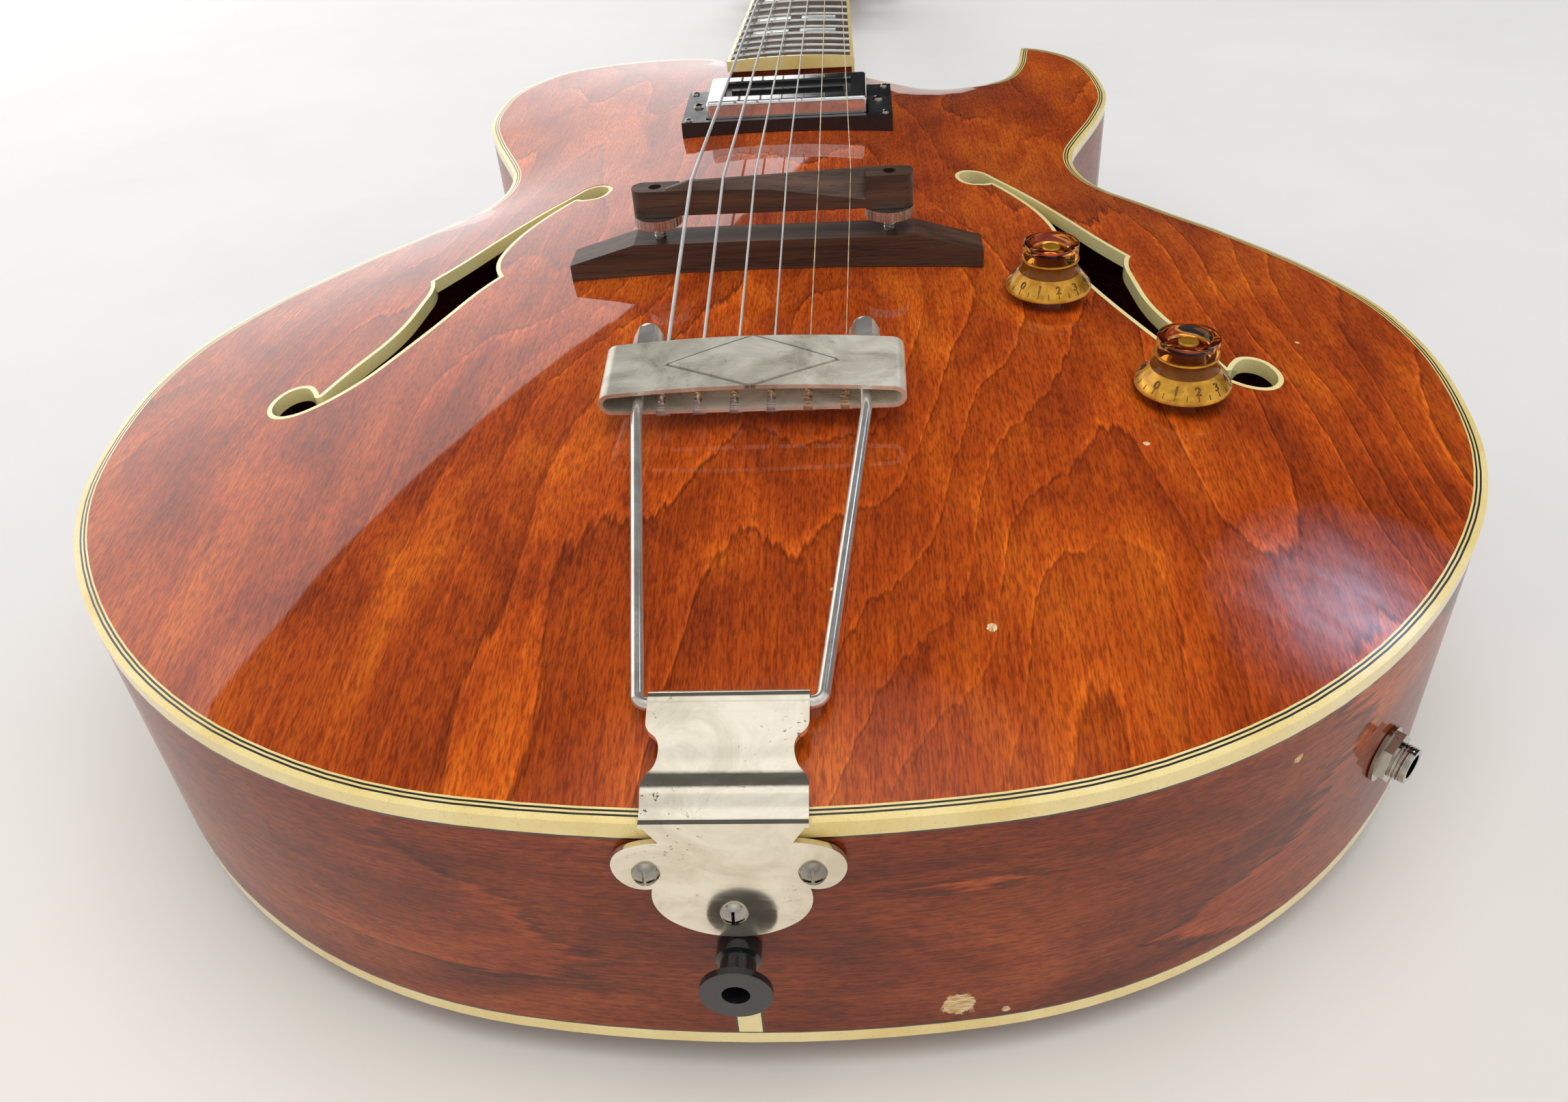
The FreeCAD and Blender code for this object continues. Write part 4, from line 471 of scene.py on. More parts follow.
# Painted highlight and shade: the plating is lightened just inside the outline and darkened just
# outside it.
edge = ramp(tree, weighted(tree, (along, 0.5), (across, 0.5)), (0.478, 1.0), (0.484, 1.25),
            (0.490, 0.3), (0.512, 0.34), (0.524, 1.0))
on_top = sums(tree, "MULTIPLY", sums(tree, "GREATER_THAN", upwards, upper_face), 0.9)
painted_edge_plating = mixed(tree, on_top, plating, edge, "MULTIPLY")
# Painted light: the treble half is lightened and the bass half darkened, for the light that falls
# on each side.
painted_treble_light = ramp(tree, sums(tree, "MULTIPLY_ADD", x, 10.0, 0.5), (0.1, 0.8), (0.9, 1.14))
tree.links.new(mixed(tree, 1.0, painted_edge_plating, painted_treble_light, "MULTIPLY"), surface.inputs["Base Color"])
# This is the width of the outline that carries the painted shade line.
print("the dirt line is", round(2 * lozenge_half.x, 4), "m wide")

# %% [markdown]
# Four strings are wound: a fine wire lies round a core, turn by turn. From here that reads as
# a silky ribbed line, so a band pattern along the string gives both ridge and shade. The two
# plain strings are bare steel that has gone slightly golden.

# %% Metal of the strings
def string_metal(name, colour, ridges, roughness, depth):
    """Tarnished wire with bands along its length."""
    material, tree, surface = finish(name, Metallic=0.45, Roughness=roughness)
    wave = tree.nodes.new("ShaderNodeTexWave")
    wave.bands_direction = "Y"
    wave.inputs["Scale"].default_value = ridges
    wave.inputs["Distortion"].default_value = 0.0
    tree.links.new(evenly(tree, 1.0), wave.inputs["Vector"])
    bands = wave.outputs["Fac"]
    tarnish = noise(tree, stretched(tree, 60, 40, 60), detail=4, roughness=0.6)
    dulled = ramp(tree, tarnish, (0.35, 0.62), (0.65, 1.0))
    ribbed = ramp(tree, bands, (0.0, 0.35), (0.5, 1.0))
    worn = mixed(tree, 0.6, colour, dulled, "MULTIPLY")
    tree.links.new(mixed(tree, 0.5, worn, ribbed, "MULTIPLY"), surface.inputs["Base Color"])
    bumped(tree, surface, bands, depth, rise=0.1 * MM)
    return material


wound_metal = string_metal(
    "wound_wire", (0.88, 0.87, 0.84), ridges=900.0, roughness=0.28, depth=0.6)
plain_metal = string_metal(
    "plain_wire", (0.90, 0.70, 0.44), ridges=40.0, roughness=0.16, depth=0.02)
print("made", wound_metal.name, "and", plain_metal.name)

# %% [markdown]
# Black parts are moulded plastic: the pickup ring, the strap pin, the head's face. They are
# glossy, but handling leaves faint cloudy wear, so the roughness drifts from place to place
# and a few dust specks lighten the surface.

# %% Black plastic and the pickup's face
black = (0.011, 0.011, 0.012)
dust_grey = (0.16, 0.15, 0.14)


def moulded_black(name, smooth, rough):
    """Glossy black with dust; its roughness drifts between the two values."""
    material, tree, surface = finish(name, Coat_Weight=0.3, Coat_Roughness=0.08)
    cloud = noise(tree, evenly(tree, 90), detail=5, roughness=0.65)
    dust = ramp(tree, noise(tree, evenly(tree, 1500), detail=2), (0.66, 0.0), (0.76, 0.35))
    tree.links.new(mixed(tree, dust, black, dust_grey), surface.inputs["Base Color"])
    drift = ramp(tree, cloud, (0.35, smooth), (0.65, rough))
    tree.links.new(drift, surface.inputs["Roughness"])
    bumped(tree, surface, noise(tree, evenly(tree, 500), detail=2), 0.03)
    return material


black_gloss = moulded_black("moulded_black", smooth=0.14, rough=0.34)
pickup_black = moulded_black("coil_black", smooth=0.25, rough=0.45)
print("made", black_gloss.name, "and", pickup_black.name)

# %% [markdown]
# The knobs are clear amber plastic with gold paint behind the skirt. Light goes into the cap
# and comes back brown, while the skirt shines like gilt under glass. Three finishes cover it:
# a see-through amber for the cap, a deep amber for the waist, and gold with a clear coat. The
# figures on the skirt are printed in dark brown ink.

# %% Amber, gold and ink
def amber(name, colour, clear, roughness, shine):
    """Swirled amber; clear is the share of the light that goes through it."""
    material, tree, surface = finish(name, Roughness=roughness, IOR=1.49,
                                     Transmission_Weight=clear, Specular_IOR_Level=shine)
    swirl = noise(tree, evenly(tree, 150), distortion=1.2)
    deep = tuple(0.72 * part for part in colour)
    tree.links.new(ramp(tree, swirl, (0.35, deep), (0.65, colour)), surface.inputs["Base Color"])
    return material


amber_clear = amber("amber_cap", (0.76, 0.29, 0.045), clear=1.0, roughness=0.02, shine=0.5)
amber_deep = amber("amber_waist", (0.30, 0.095, 0.010), clear=0.25, roughness=0.06, shine=0.12)

gold, tree, surface = finish("gilt_skirt", Metallic=0.75, Coat_Weight=0.6, Coat_Roughness=0.03)
cloud = noise(tree, evenly(tree, 240), detail=5, roughness=0.6, distortion=0.8)
leaf = ramp(tree, cloud, (0.32, (0.50, 0.21, 0.010)), (0.66, (0.94, 0.48, 0.035)))
tree.links.new(leaf, surface.inputs["Base Color"])
tree.links.new(ramp(tree, cloud, (0.3, 0.42), (0.7, 0.28)), surface.inputs["Roughness"])

dial_ink, tree, surface = finish("dial_ink", Roughness=0.5)
smudge = noise(tree, evenly(tree, 900))
brown = ramp(tree, smudge, (0.3, (0.035, 0.015, 0.004)), (0.7, (0.11, 0.05, 0.012)))
tree.links.new(brown, surface.inputs["Base Color"])
print("made", amber_clear.name, amber_deep.name, gold.name, dial_ink.name)

# %% [markdown]
# Every solid from the frame now gets its finish. The table goes from finish to pieces, which
# is easier to read than the other way round: one glance shows what shares a material.

# %% Finishes on the solid pieces
tuners = range(1, 7)
worn_by = {
    top_wood: ["top_plate"],
    back_wood: ["back_plate"],
    side_wood: ["side_bass", "side_treble", "side_cutaway"],
    neck_wood: ["neck"],
    inner_wood: ["linings", "body_blocks", "tone_bars"],
    bridge_wood: ["bridge_base", "bridge_saddle"],
    board_wood: ["fingerboard"],
    cream: ["top_binding", "back_binding", "end_graft", "fingerboard_binding"],
    painted_lit_cream: ["f_hole_bindings"],
    black_line: ["purfling_black"],
    bone: ["nut"],
    pearl: ["fret_markers"],
    button_cream: ["tuner_button_%d" % number for number in tuners],
    hanger_nickel: ["tailpiece_hanger"],
    bar_nickel: ["tailpiece_crossbar"],
    bright_nickel: ["tailpiece_rod", "acorn_nuts", "tuner_housings"]
    + ["tuner_post_%d" % number for number in tuners],
    plain_steel: ["thumbwheel_bass", "thumbwheel_treble", "truss_rod", "potentiometers",
                  "volume_shaft", "tone_shaft"],
    fret_nickel: ["frets"],
    screw_nickel: ["wood_screws", "pickup_height_screw_bass", "pickup_height_screw_treble",
                   "output_jack"],
    chrome: ["pickup_cover"],
    black_gloss: ["headstock_overlay", "truss_rod_cover", "pickup_ring", "strap_pin"],
    pickup_black: ["pickup_core"],
    lead_cover: ["wiring"],
}
for material, names in worn_by.items():
    for name in names:
        nodes[name].data.materials.clear()
        nodes[name].data.materials.append(material)
dressed = {name for names in worn_by.values() for name in names}
print("dressed", len(dressed), "solid pieces; replaced below:", sorted(set(nodes) - dressed))

# %% [markdown]
# Round pieces are turned, as on a lathe: a half outline is spun about an axis. The helper
# spins a closed outline, merges the seam and the points on the axis, and turns the faces
# outwards. The place is then put into the mesh itself, so that the object stays at the origin.

# %% Helpers for pieces
sharp_angle = math.radians(35)


def placed(name, mesh, material=None, smooth=True):
    """An object for a mesh that already lies in its place."""
    piece = bpy.data.objects.new(name, mesh)
    bpy.context.scene.collection.objects.link(piece)
    if material:
        mesh.materials.clear()
        mesh.materials.append(material)
    if smooth:
        mesh.shade_smooth()
        mesh.set_sharp_from_angle(angle=sharp_angle)
    return piece


def kept(name, mesh, body, material=None, smooth=True):
    """A mesh already in its place, as a piece that rides on a body."""
    piece = placed(name, mesh, material, smooth)
    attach(piece, body)
    return piece


def plain_mesh(name, worked):
    """The mesh of a worked form, which is freed."""
    mesh = bpy.data.meshes.new(name)
    worked.to_mesh(mesh)
    worked.free()
    return mesh


def turned(name, outline, place, steps=96):
    """A mesh spun from a closed (radius, height) outline in millimetres."""
    spun = bmesh.new()
    corners = [spun.verts.new((radius * MM, 0, height * MM)) for radius, height in outline]
    edges = [spun.edges.new(pair) for pair in zip(corners, corners[1:] + corners[:1])]
    bmesh.ops.spin(spun, geom=corners + edges, cent=(0, 0, 0), axis=(0, 0, 1),
                   angle=2 * math.pi, steps=steps)
    bmesh.ops.remove_doubles(spun, verts=spun.verts, dist=1e-7)
    bmesh.ops.recalc_face_normals(spun, faces=spun.faces)
    spun.transform(place)
    return plain_mesh(name, spun)


print("lathe ready")

# %% [markdown]
# A dial knob has six parts: a gilt skirt that flares out over the top, a deep amber waist, a
# thin gilt collar, a clear cap with a round well, a deep amber hub below the well, and a gold
# button in it. Each is a closed turned shape, because light that enters a see-through solid
# has to leave it again.

# %% Turned parts of the knobs
skirt_outline = [(13.1, 0.0), (13.1, 0.45), (12.8, 1.1), (12.05, 2.1), (11.05, 3.25), (10.1, 4.4),
                 (9.35, 5.5), (8.9, 5.4), (10.7, 2.9), (12.3, 0.5), (12.3, 0.0)]
waist_outline = [(9.3, 5.45), (8.75, 6.4), (8.42, 7.4), (8.27, 8.3), (8.3, 9.05), (4.7, 9.05),
                 (4.7, 5.45)]
collar_outline = [(8.3, 9.06), (8.62, 9.1), (8.78, 9.35), (8.7, 9.65), (8.45, 9.74), (4.8, 9.74),
                  (4.8, 9.06)]
cap_outline = [(4.8, 9.76), (8.35, 9.76), (8.45, 9.95), (8.45, 13.95), (8.3, 14.32), (7.9, 14.5),
               (6.75, 14.5), (6.4, 14.38), (6.15, 13.7), (5.75, 12.7), (5.0, 12.15), (3.4, 12.0),
               (0.0, 12.0), (0.0, 11.4), (4.8, 11.4)]
hub_outline = [(0.0, 9.5), (4.7, 9.5), (4.7, 11.1), (4.4, 11.3), (0.0, 11.3)]
button_outline = [(0.0, 12.04), (2.75, 12.04), (2.75, 12.7), (2.5, 13.05), (1.6, 13.25),
                  (0.0, 13.3)]
knob_parts = [("skirt", skirt_outline, gold), ("waist", waist_outline, amber_deep),
              ("collar", collar_outline, gold), ("cap", cap_outline, amber_clear),
              ("hub", hub_outline, amber_deep), ("button", button_outline, gold)]
knob_spots = {}
for dial in ("volume", "tone"):
    low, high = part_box(dial + "_knob")
    spot = Vector(((low.x + high.x) / 2, (low.y + high.y) / 2, low.z))
    knob_spots[dial] = spot
    for part, outline, material in knob_parts:
        name = "%s_%s" % (dial, part)
        mesh = turned(name, outline, Matrix.Translation(spot))
        piece = kept(name, mesh, dial, material)
        if part == "skirt":
            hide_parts(dial + "_knob")
    print(dial, "knob is", round(high.z - low.z, 4), "m tall and stands at",
          [round(value, 4) for value in spot])

# %% [markdown]
# The skirt carries plain outlined figures from 0 to 10. They are text curves with no fill and
# a thin round bevel, which draws only the outline. Each is made a mesh first and then laid on
# the cone with one matrix. The cone's slope comes from two points of the skirt's outline.

# %% Figures on the skirts
figure_count = 11
figure_step = 30.0
figure_start = -142.0
figure_size = 3.3
figure_line = 0.09
figure_radius = 11.05
figure_height = 3.33
slope = (Vector(skirt_outline[5]) - Vector(skirt_outline[3])).normalized()


def on_skirt(spot, bearing):
    """A place for a figure on the cone: x runs round it, y runs up it, z points out of it."""
    angle = math.radians(bearing)
    out = Vector((math.cos(angle), math.sin(angle), 0))
    along = Vector((-math.sin(angle), math.cos(angle), 0))
    up = out * slope.x + Vector((0, 0, slope.y))
    turn = Matrix((along, up, along.cross(up))).transposed().to_4x4()
    origin = spot + out * (figure_radius * MM) + Vector((0, 0, figure_height * MM))
    return Matrix.Translation(origin) @ turn


def taken(holder):
    """The plain mesh of an object as it looks, without the object."""
    bpy.context.scene.collection.objects.link(holder)
    bpy.context.view_layer.update()
    graph = bpy.context.evaluated_depsgraph_get()
    mesh = bpy.data.meshes.new_from_object(holder.evaluated_get(graph))
    holder.modifiers.clear()
    bpy.data.objects.remove(holder)
    return mesh


def figure_mesh(digits):
    """The outline of a number."""
    text = bpy.data.curves.new("figure", "FONT")
    text.body = digits
    text.size = figure_size * MM
    text.align_x = "CENTER"
    text.align_y = "CENTER"
    text.fill_mode = "NONE"
    text.bevel_depth = figure_line * MM
    text.bevel_resolution = 1
    text.resolution_u = 4
    return taken(bpy.data.objects.new("figure", text))


for dial, spot in knob_spots.items():
    ring = bmesh.new()
    for number in range(figure_count):
        digits = figure_mesh(str(number))
        digits.transform(on_skirt(spot, figure_start + figure_step * number))
        ring.from_mesh(digits)
        bpy.data.meshes.remove(digits)
    mesh = plain_mesh(dial + "_figures", ring)
    kept(dial + "_figures", mesh, dial, dial_ink)
    print(dial, "figures:", len(mesh.polygons), "faces")

# %% [markdown]
# Pieces that repeat are made by small Geometry Nodes trees. Each tree has named inputs for its
# sizes, and it ends by making its copies real and giving them a material. The result is taken
# as a plain mesh, and the modifier is removed again.

# %% Geometry Nodes helpers
socket_kinds = {"float": "NodeSocketFloat", "int": "NodeSocketInt", "vector": "NodeSocketVector",
                "material": "NodeSocketMaterial"}


def new_tree(title, **inputs):
    """An empty tree with named inputs and one geometry output."""
    tree = bpy.data.node_groups.new(title, "GeometryNodeTree")
    tree.interface.new_socket("Geometry", in_out="INPUT", socket_type="NodeSocketGeometry")
    for label, kind in inputs.items():
        tree.interface.new_socket(label, in_out="INPUT", socket_type=socket_kinds[kind])
    tree.interface.new_socket("Geometry", in_out="OUTPUT", socket_type="NodeSocketGeometry")
    return tree, tree.nodes.new("NodeGroupInput").outputs


def step(tree, kind, links=None, **settings):
    """The first output of a new node, with its sockets linked or set by name."""
    made = tree.nodes.new(kind)
    for key, value in settings.items():
        setattr(made, key, value)
    for socket, value in (links or {}).items():
        fed(tree, made.inputs[socket], value)
    return made.outputs[0]


def ended(tree, copies, material):
    """Make the copies real, give them their material, and close the tree."""
    real = step(tree, "GeometryNodeRealizeInstances", {"Geometry": copies})
    coated = step(tree, "GeometryNodeSetMaterial", {"Geometry": real, "Material": material})
    tree.links.new(coated, tree.nodes.new("NodeGroupOutput").inputs["Geometry"])


def grown(tree, **values):
    """The plain mesh that a tree makes with these inputs."""
    holder = bpy.data.objects.new("holder", bpy.data.meshes.new("holder"))
    modifier = holder.modifiers.new("tree", "NODES")
    modifier.node_group = tree
    for item in tree.interface.items_tree:
        if item.in_out == "INPUT" and item.name in values:
            modifier[item.identifier] = values[item.name]
    return taken(holder)


print("tree helpers ready")

# %% [markdown]
# Short ticks run along the rim of each skirt. The tree takes points on a circle and sets one
# little bar on each, turned to face outwards and tipped to lie on the cone.

# %% Ticks on the skirts
tick_count = 24
tick_radius = 12.28
tick_height = 1.83
tick_length = 1.5
tick_width = 0.16
ticks, given = new_tree("Dial ticks", Count="int", Radius="float", Length="float", Width="float",
                        Tip="float", Ink="material")
circle = step(ticks, "GeometryNodeMeshCircle",
              {"Vertices": given["Count"], "Radius": given["Radius"]})
size = step(ticks, "ShaderNodeCombineXYZ",
            {"X": given["Width"], "Y": given["Length"], "Z": given["Width"]})
bar = step(ticks, "GeometryNodeMeshCube", {"Size": size})
place = step(ticks, "GeometryNodeInputPosition")
facing = step(ticks, "FunctionNodeAlignRotationToVector", {"Vector": place},
              axis="Y", pivot_axis="Z")
tip = step(ticks, "ShaderNodeCombineXYZ", {"X": given["Tip"]})
tipped = step(ticks, "FunctionNodeRotateRotation", {"Rotation": facing, "Rotate By": tip},
              rotation_space="LOCAL")
row = step(ticks, "GeometryNodeInstanceOnPoints",
           {"Points": circle, "Instance": bar, "Rotation": tipped})
ended(ticks, row, given["Ink"])
tick_slope = math.atan2(-slope.y, -slope.x)
tick_turn = Matrix.Rotation(math.radians(figure_start), 4, "Z")
for dial, spot in knob_spots.items():
    mesh = grown(ticks, Count=tick_count, Radius=tick_radius * MM, Length=tick_length * MM,
                 Width=tick_width * MM, Tip=tick_slope, Ink=dial_ink)
    mesh.transform(Matrix.Translation(spot + Vector((0, 0, tick_height * MM))) @ tick_turn)
    kept(dial + "_ticks", mesh, dial, smooth=False)
    print(dial, "ticks:", len(mesh.polygons) // 6)

# %% [markdown]
# At the tail each string ends in a ball, locked by its own wire wound back along it. A thread
# is much the same form: one ridge that runs round and up. So one tree makes both. It sweeps a
# thin round wire along a spiral, sets one on each point between two places, and can make each
# a little smaller than the one before.

# %% A tree for wound wire
spirals, given = new_tree("Wound wire", Count="int", First="vector", Last="vector", Tilt="vector",
                          Turns="float", Radius="float", Wire="float", Length="float",
                          Smallest="float", Points="int", Sides="int", Metal="material")
line = step(spirals, "GeometryNodeMeshLine",
            {"Count": given["Count"], "Start Location": given["First"], "Offset": given["Last"]},
            mode="END_POINTS")
path = step(spirals, "GeometryNodeCurveSpiral",
            {"Resolution": given["Points"], "Rotations": given["Turns"],
             "Start Radius": given["Radius"], "End Radius": given["Radius"],
             "Height": given["Length"]})
rim = step(spirals, "GeometryNodeCurvePrimitiveCircle",
           {"Resolution": given["Sides"], "Radius": given["Wire"]})
swept = step(spirals, "GeometryNodeCurveToMesh",
             {"Curve": path, "Profile Curve": rim, "Fill Caps": True})
number = step(spirals, "GeometryNodeInputIndex")
last = step(spirals, "ShaderNodeMath", {0: given["Count"], 1: 1.0}, operation="SUBTRACT")
girth = step(spirals, "ShaderNodeMapRange",
             {"Value": number, "From Max": last, "To Min": 1.0, "To Max": given["Smallest"]})
spread = step(spirals, "GeometryNodeInstanceOnPoints",
              {"Points": line, "Instance": swept, "Rotation": given["Tilt"], "Scale": girth})
ended(spirals, spread, given["Metal"])
print("tree for wound wire has", len(spirals.nodes), "nodes")

# %% [markdown]
# The little brass coils at the string ends show in the slots of the crossbar. There are six
# between the outer slots, and they get smaller towards the treble side, as the strings do.

# %% Wound string ends at the crossbar
outer_slot = Vector((24.85 * MM, 0, 0))
coil_start = Vector((0, -0.3826, 0.1147))
coil_tilt = math.radians(13.0 - 90)
mesh = grown(spirals, Count=6, First=coil_start - outer_slot, Last=coil_start + outer_slot,
             Tilt=(coil_tilt, 0, 0), Turns=7.0, Radius=0.95 * MM, Wire=0.3 * MM,
             Length=4.6 * MM, Smallest=0.6, Points=14, Sides=8, Metal=brass)
kept("string_coils", mesh, "trapeze")
bar_low, bar_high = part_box("tailpiece_crossbar")
print("six coils:", len(mesh.polygons), "faces inside the crossbar from y", round(bar_low.y, 4),
      "to", round(bar_high.y, 4))

# %% [markdown]
# The strings are held by the tailpiece, lifted by the saddle and wound on the tuners, and the
# first two of these can move. So each set of strings is cut into three runs. The first follows
# the tailpiece and comes to rest half way to the bridge, the second goes on to the saddle, and
# the long one leads from the saddle to the nut. A straight tube has no points along its length,
# so it is sliced where it has to bend.

# %% Strings cut into three runs
bend_slices = 24


def sliced(tube, y, drop=None):
    """Cut a mesh across at y, and drop what lies towards the tail or the head."""
    whole = tube.verts[:] + tube.edges[:] + tube.faces[:]
    bmesh.ops.bisect_plane(tube, geom=whole, dist=1e-7, plane_co=(0, y, 0), plane_no=(0, 1, 0),
                           clear_inner=drop == "tail", clear_outer=drop == "head")
    bmesh.ops.holes_fill(tube, edges=[edge for edge in tube.edges if edge.is_boundary], sides=0)


def string_run(node, name, metal, low, high, bend, bodies):
    """The run of a node's strings from low to high, sliced over its bend; bodies is not used."""
    tube = bmesh.new()
    tube.from_mesh(nodes[node].data)
    bmesh.ops.remove_doubles(tube, verts=tube.verts, dist=1e-6)
    if low is not None:
        sliced(tube, low, "tail")
    if high is not None:
        sliced(tube, high, "head")
    for number in range(bend_slices + 1):
        sliced(tube, bend[0] + (bend[1] - bend[0]) * number / bend_slices)
    run = placed(name, plain_mesh(name, tube), metal)
    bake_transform(run)
    return run


saddle_low, saddle_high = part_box("bridge_saddle")
nut_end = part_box("nut")[0].y
bar_end = bar_high.y
half_way = (bar_end + saddle_low.y) / 2
crest = (saddle_low.y + saddle_high.y) / 2
run_cuts = [("_tail_run", None, half_way, (bar_end, half_way), ("trapeze", "guitar")),
            ("_bridge_run", half_way, crest, (half_way, saddle_low.y), ("guitar", "saddle")),
            ("_long_run", crest, None, (saddle_high.y, nut_end), ("saddle", "guitar"))]
for kind, metal in (("wound", wound_metal), ("plain", plain_metal)):
    node = "strings_" + kind
    runs = [string_run(node, kind + part, metal, *cut) for part, *cut in run_cuts]
    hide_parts(node)
    print(node, "runs:", [len(run.data.polygons) for run in runs], "faces")

# %% [markdown]
# The thumbwheels climb on threaded posts. Each post becomes a thinner turned core, and the
# tree for wound wire lays the ridge of the thread round both of them.

# %% Threads on the posts
thread_pitch = 0.7
thread_margin = 0.3
core_radius = 1.68
post_ridge = 0.24
post_low, post_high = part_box("bridge_posts")
post_radius = (post_high.y - post_low.y) / 2
post_ends = [Vector((x, (post_low.y + post_high.y) / 2, post_low.z))
             for x in (post_low.x + post_radius, post_high.x - post_radius)]
post_length = (post_high.z - post_low.z) / MM
core = [(0.0, 0.0), (core_radius, 0.0), (core_radius, post_length), (0.0, post_length)]
for side, foot in zip(("bass", "treble"), post_ends):
    mesh = turned(side + "_post", core, Matrix.Translation(foot), steps=32)
    post = kept(side + "_post", mesh, "guitar", plain_steel)
    if side == "bass":
        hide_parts("bridge_posts")
above_foot = Vector((0, 0, thread_margin * MM))
thread_length = post_length - 2 * thread_margin
mesh = grown(spirals, Count=2, First=post_ends[0] + above_foot, Last=post_ends[1] + above_foot,
             Tilt=(0, 0, 0), Turns=thread_length / thread_pitch, Radius=core_radius * MM,
             Wire=post_ridge * MM, Length=thread_length * MM, Smallest=1.0, Points=20, Sides=6,
             Metal=plain_steel)
kept("post_threads", mesh, "guitar")
print("post threads:", len(mesh.polygons), "faces on posts", round(post_length, 2), "mm long")

# %% [markdown]
# The output jack is held by a nut on a threaded sleeve that stands out of the rim. Its own
# sleeve already lies under the ridge, so only the ridge is added, turned to point outwards.

# %% Thread on the jack
jack_face = Vector((0.157076, -0.452467, 0.0475))
jack_out = Vector((0.733916, -0.67924, 0.0))
jack_turn = (0, math.pi / 2, math.atan2(jack_out.y, jack_out.x))
beyond_nut = 3.9 * MM
mesh = grown(spirals, Count=1, First=jack_face + jack_out * beyond_nut, Last=jack_face,
             Tilt=jack_turn, Turns=4.0, Radius=4.62 * MM, Wire=0.3 * MM, Length=3.2 * MM,
             Smallest=1.0, Points=20, Sides=6, Metal=screw_nickel)
kept("jack_thread", mesh, "guitar")
print("jack thread:", len(mesh.polygons), "faces")

# %% [markdown]
# A pale floor lies under the guitar, a little warmer towards the camera. For the camera alone
# the far floor fades into the grey of the room, so no horizon shows.

# %% Floor
def square(name, half, material, place=Matrix()):
    """A flat square in its place."""
    corners = [(-half, -half, 0), (half, -half, 0), (half, half, 0), (-half, half, 0)]
    mesh = bpy.data.meshes.new(name)
    mesh.from_pydata(corners, [], [(0, 1, 2, 3)])
    mesh.transform(place)
    return placed(name, mesh, material, smooth=False)


def camera_ray(tree):
    """1 for a ray that comes straight from the camera, 0 for reflections and light."""
    return tree.nodes.new("ShaderNodeLightPath").outputs["Is Camera Ray"]


backdrop_grey = (0.84, 0.84, 0.83)
warm_white = (0.90, 0.845, 0.76)
floor_half = 6
floor_paper, tree, surface = finish("pale_floor", Roughness=0.7)
grain = noise(tree, evenly(tree, 6), detail=4, roughness=0.6)
paper = ramp(tree, grain, (0.3, (0.83, 0.82, 0.80)), (0.7, (0.88, 0.87, 0.85)))
towards_camera = sums(tree, "MULTIPLY", split(tree, evenly(tree, 1.0))[1], -1.0)
front = ramp(tree, towards_camera, (0.25, 0.0), (0.75, 1.0))
tree.links.new(mixed(tree, front, paper, warm_white), surface.inputs["Base Color"])
reach = sums(tree, "MULTIPLY", apart(tree, (0, 0, 0)), 0.2)
far_off = sums(tree, "MULTIPLY", ramp(tree, reach, (0.24, 0.0), (0.7, 1.0)), camera_ray(tree))
backdrop = tree.nodes.new("ShaderNodeEmission")
backdrop.inputs["Color"].default_value = (*backdrop_grey, 1.0)
fading = tree.nodes.new("ShaderNodeMixShader")
for socket, value in zip(fading.inputs, (far_off, surface.outputs[0], backdrop.outputs[0])):
    tree.links.new(value, socket)
tree.links.new(fading.outputs[0], tree.nodes["Material Output"].inputs["Surface"])
floor = square("floor", floor_half, floor_paper)
print("floor is", 2 * floor_half, "m wide")

# %% [markdown]
# Soft light comes from a large panel overhead, which the lacquer doesn't mirror. A long white
# panel stands low on the bass side: its reflection is the hazy sheet with one straight edge.

# %% Two soft panels
def panel(name, place, aim, width, height, power):
    """A rectangular lamp that looks at a point."""
    lamp = bpy.data.lights.new(name, "AREA")
    lamp.shape = "RECTANGLE"
    lamp.size = width
    lamp.size_y = height
    lamp.energy = power
    holder = bpy.data.objects.new(name, lamp)
    bpy.context.scene.collection.objects.link(holder)
    holder.location = place
    holder.rotation_euler = (Vector(aim) - Vector(place)).to_track_quat("-Z", "Y").to_euler()
    return holder


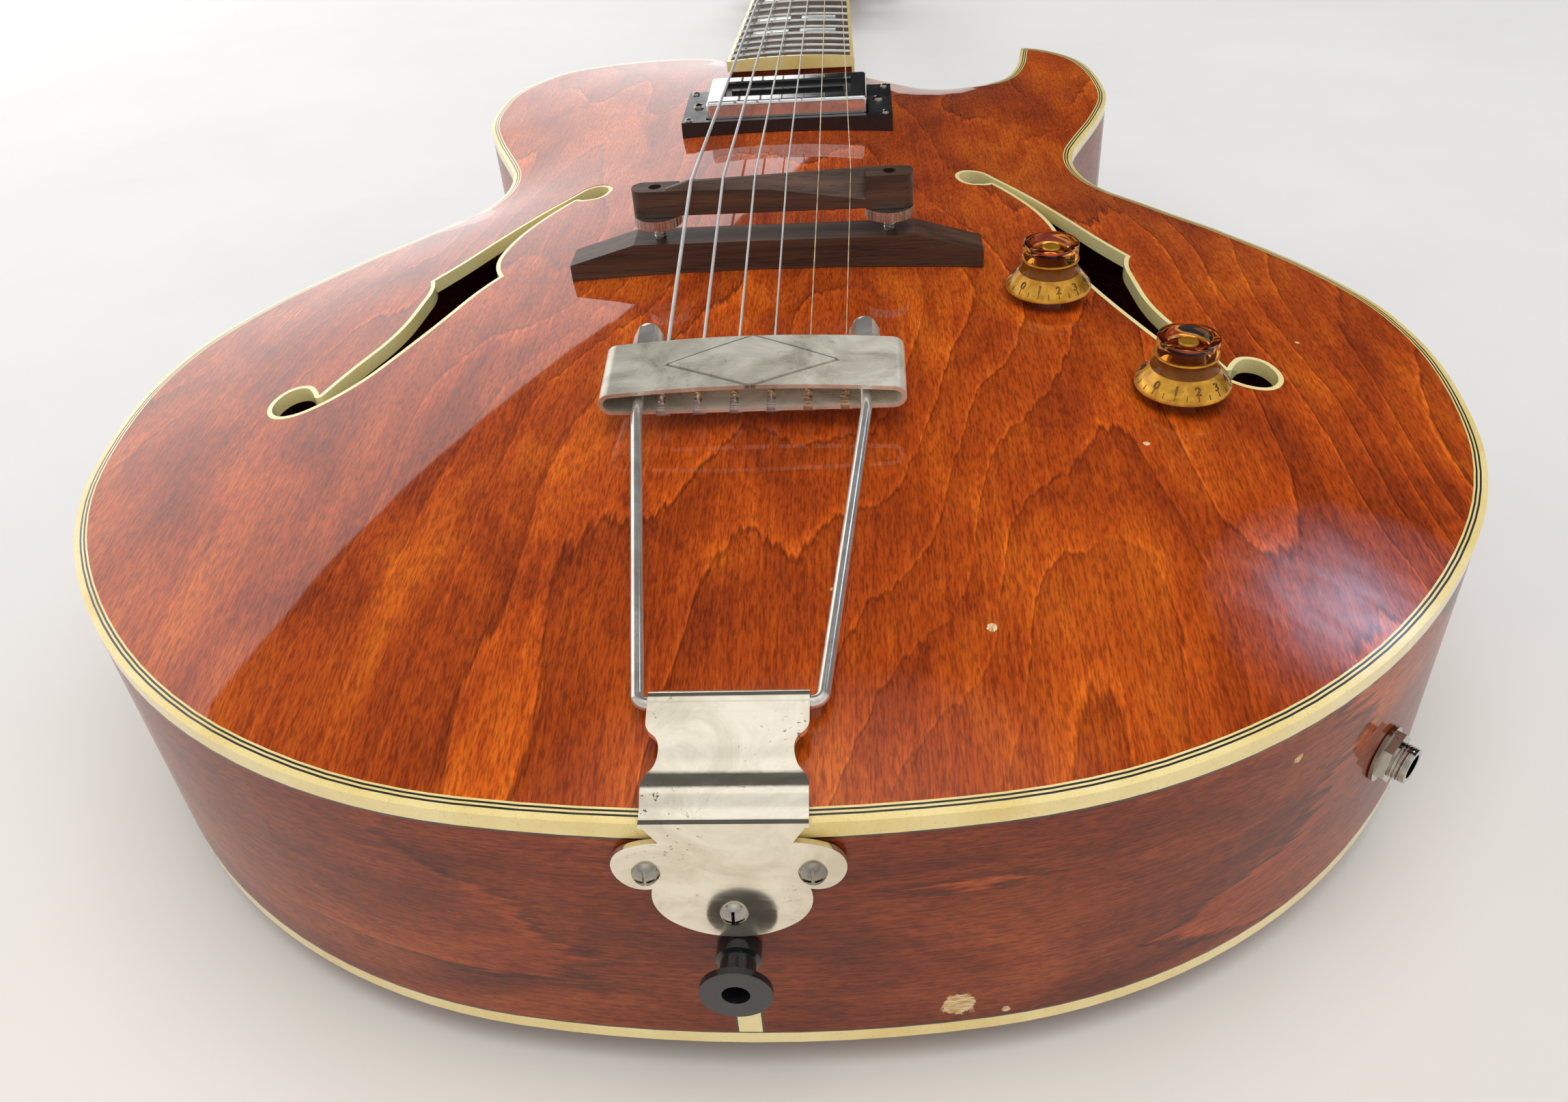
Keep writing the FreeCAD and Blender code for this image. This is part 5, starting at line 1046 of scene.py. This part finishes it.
overhead = panel("overhead", place=(0.35, -0.5, 2.2), aim=(0, -0.3, 0), width=1.9, height=1.9,
                 power=24.0)
overhead.visible_glossy = False
low_panel = panel("low_panel", place=(-0.72, 1.87, 0.65), aim=(0.24, 1.58, 0.65), width=4.28,
                  height=1.3, power=26.0)
print("panels:", overhead.name, "and", low_panel.name)

# %% [markdown]
# A glowing window on the treble side gives the bright bluish patch near the rim. It is a square
# that shines most in its middle and fades to nothing before its edge, so the patch is soft.

# %% Window
window_place = Vector((1.153, 0.637, 1.43))
window_aim = Vector((0.14, -0.45, 0.09))
window_half = 0.35
window_power = 7.5
glow, tree, surface = finish("soft_window", Base_Color=(0.0, 0.0, 0.0, 1.0), Roughness=1.0,
                             Emission_Color=(0.62, 0.72, 1.0, 1.0))
fade = ramp(tree, apart(tree, window_place), (0.03, 1.0), (0.12, 0.55), (0.24, 0.12), (0.34, 0.0))
streaks = ramp(tree, noise(tree, stretched(tree, 9, 9, 30)), (0.35, 0.55), (0.65, 1.0))
shining = sums(tree, "MULTIPLY", sums(tree, "MULTIPLY", fade, streaks), window_power)
tree.links.new(shining, surface.inputs["Emission Strength"])
window_turn = (window_aim - window_place).to_track_quat("Z", "Y").to_matrix().to_4x4()
window = square("window", window_half, glow, Matrix.Translation(window_place) @ window_turn)
print("window is", round((window_aim - window_place).length, 3), "m from the rim")

# %% [markdown]
# The room is light overhead and behind the camera. Ahead it is dark, so that the lacquer keeps
# its colour where it mirrors the room. Only the camera sees it all in pale grey.

# %% The room around
dark_ahead = (0.022, 0.022, 0.022)
room = bpy.data.worlds.new("studio")
bpy.context.scene.world = room
room.use_nodes = True
tree = room.node_tree
around = tree.nodes.new("ShaderNodeTexCoord").outputs["Generated"]
forwards, upwards = split(tree, around)[1:]
ahead = ramp(tree, forwards, (0.0, 0.0), (0.25, 1.0))
low_down = ramp(tree, upwards, (0.88, 1.0), (0.95, 0.0))
light = ramp(tree, upwards, (0.0, 0.8), (0.6, 0.55), (0.9, 0.8), (0.96, 1.0))
shade = mixed(tree, sums(tree, "MULTIPLY", ahead, low_down), light, dark_ahead)
background = tree.nodes["Background"]
tree.links.new(mixed(tree, camera_ray(tree), shade, backdrop_grey), background.inputs["Color"])
background.inputs["Strength"].default_value = 1.0
print("room set, dark ahead")
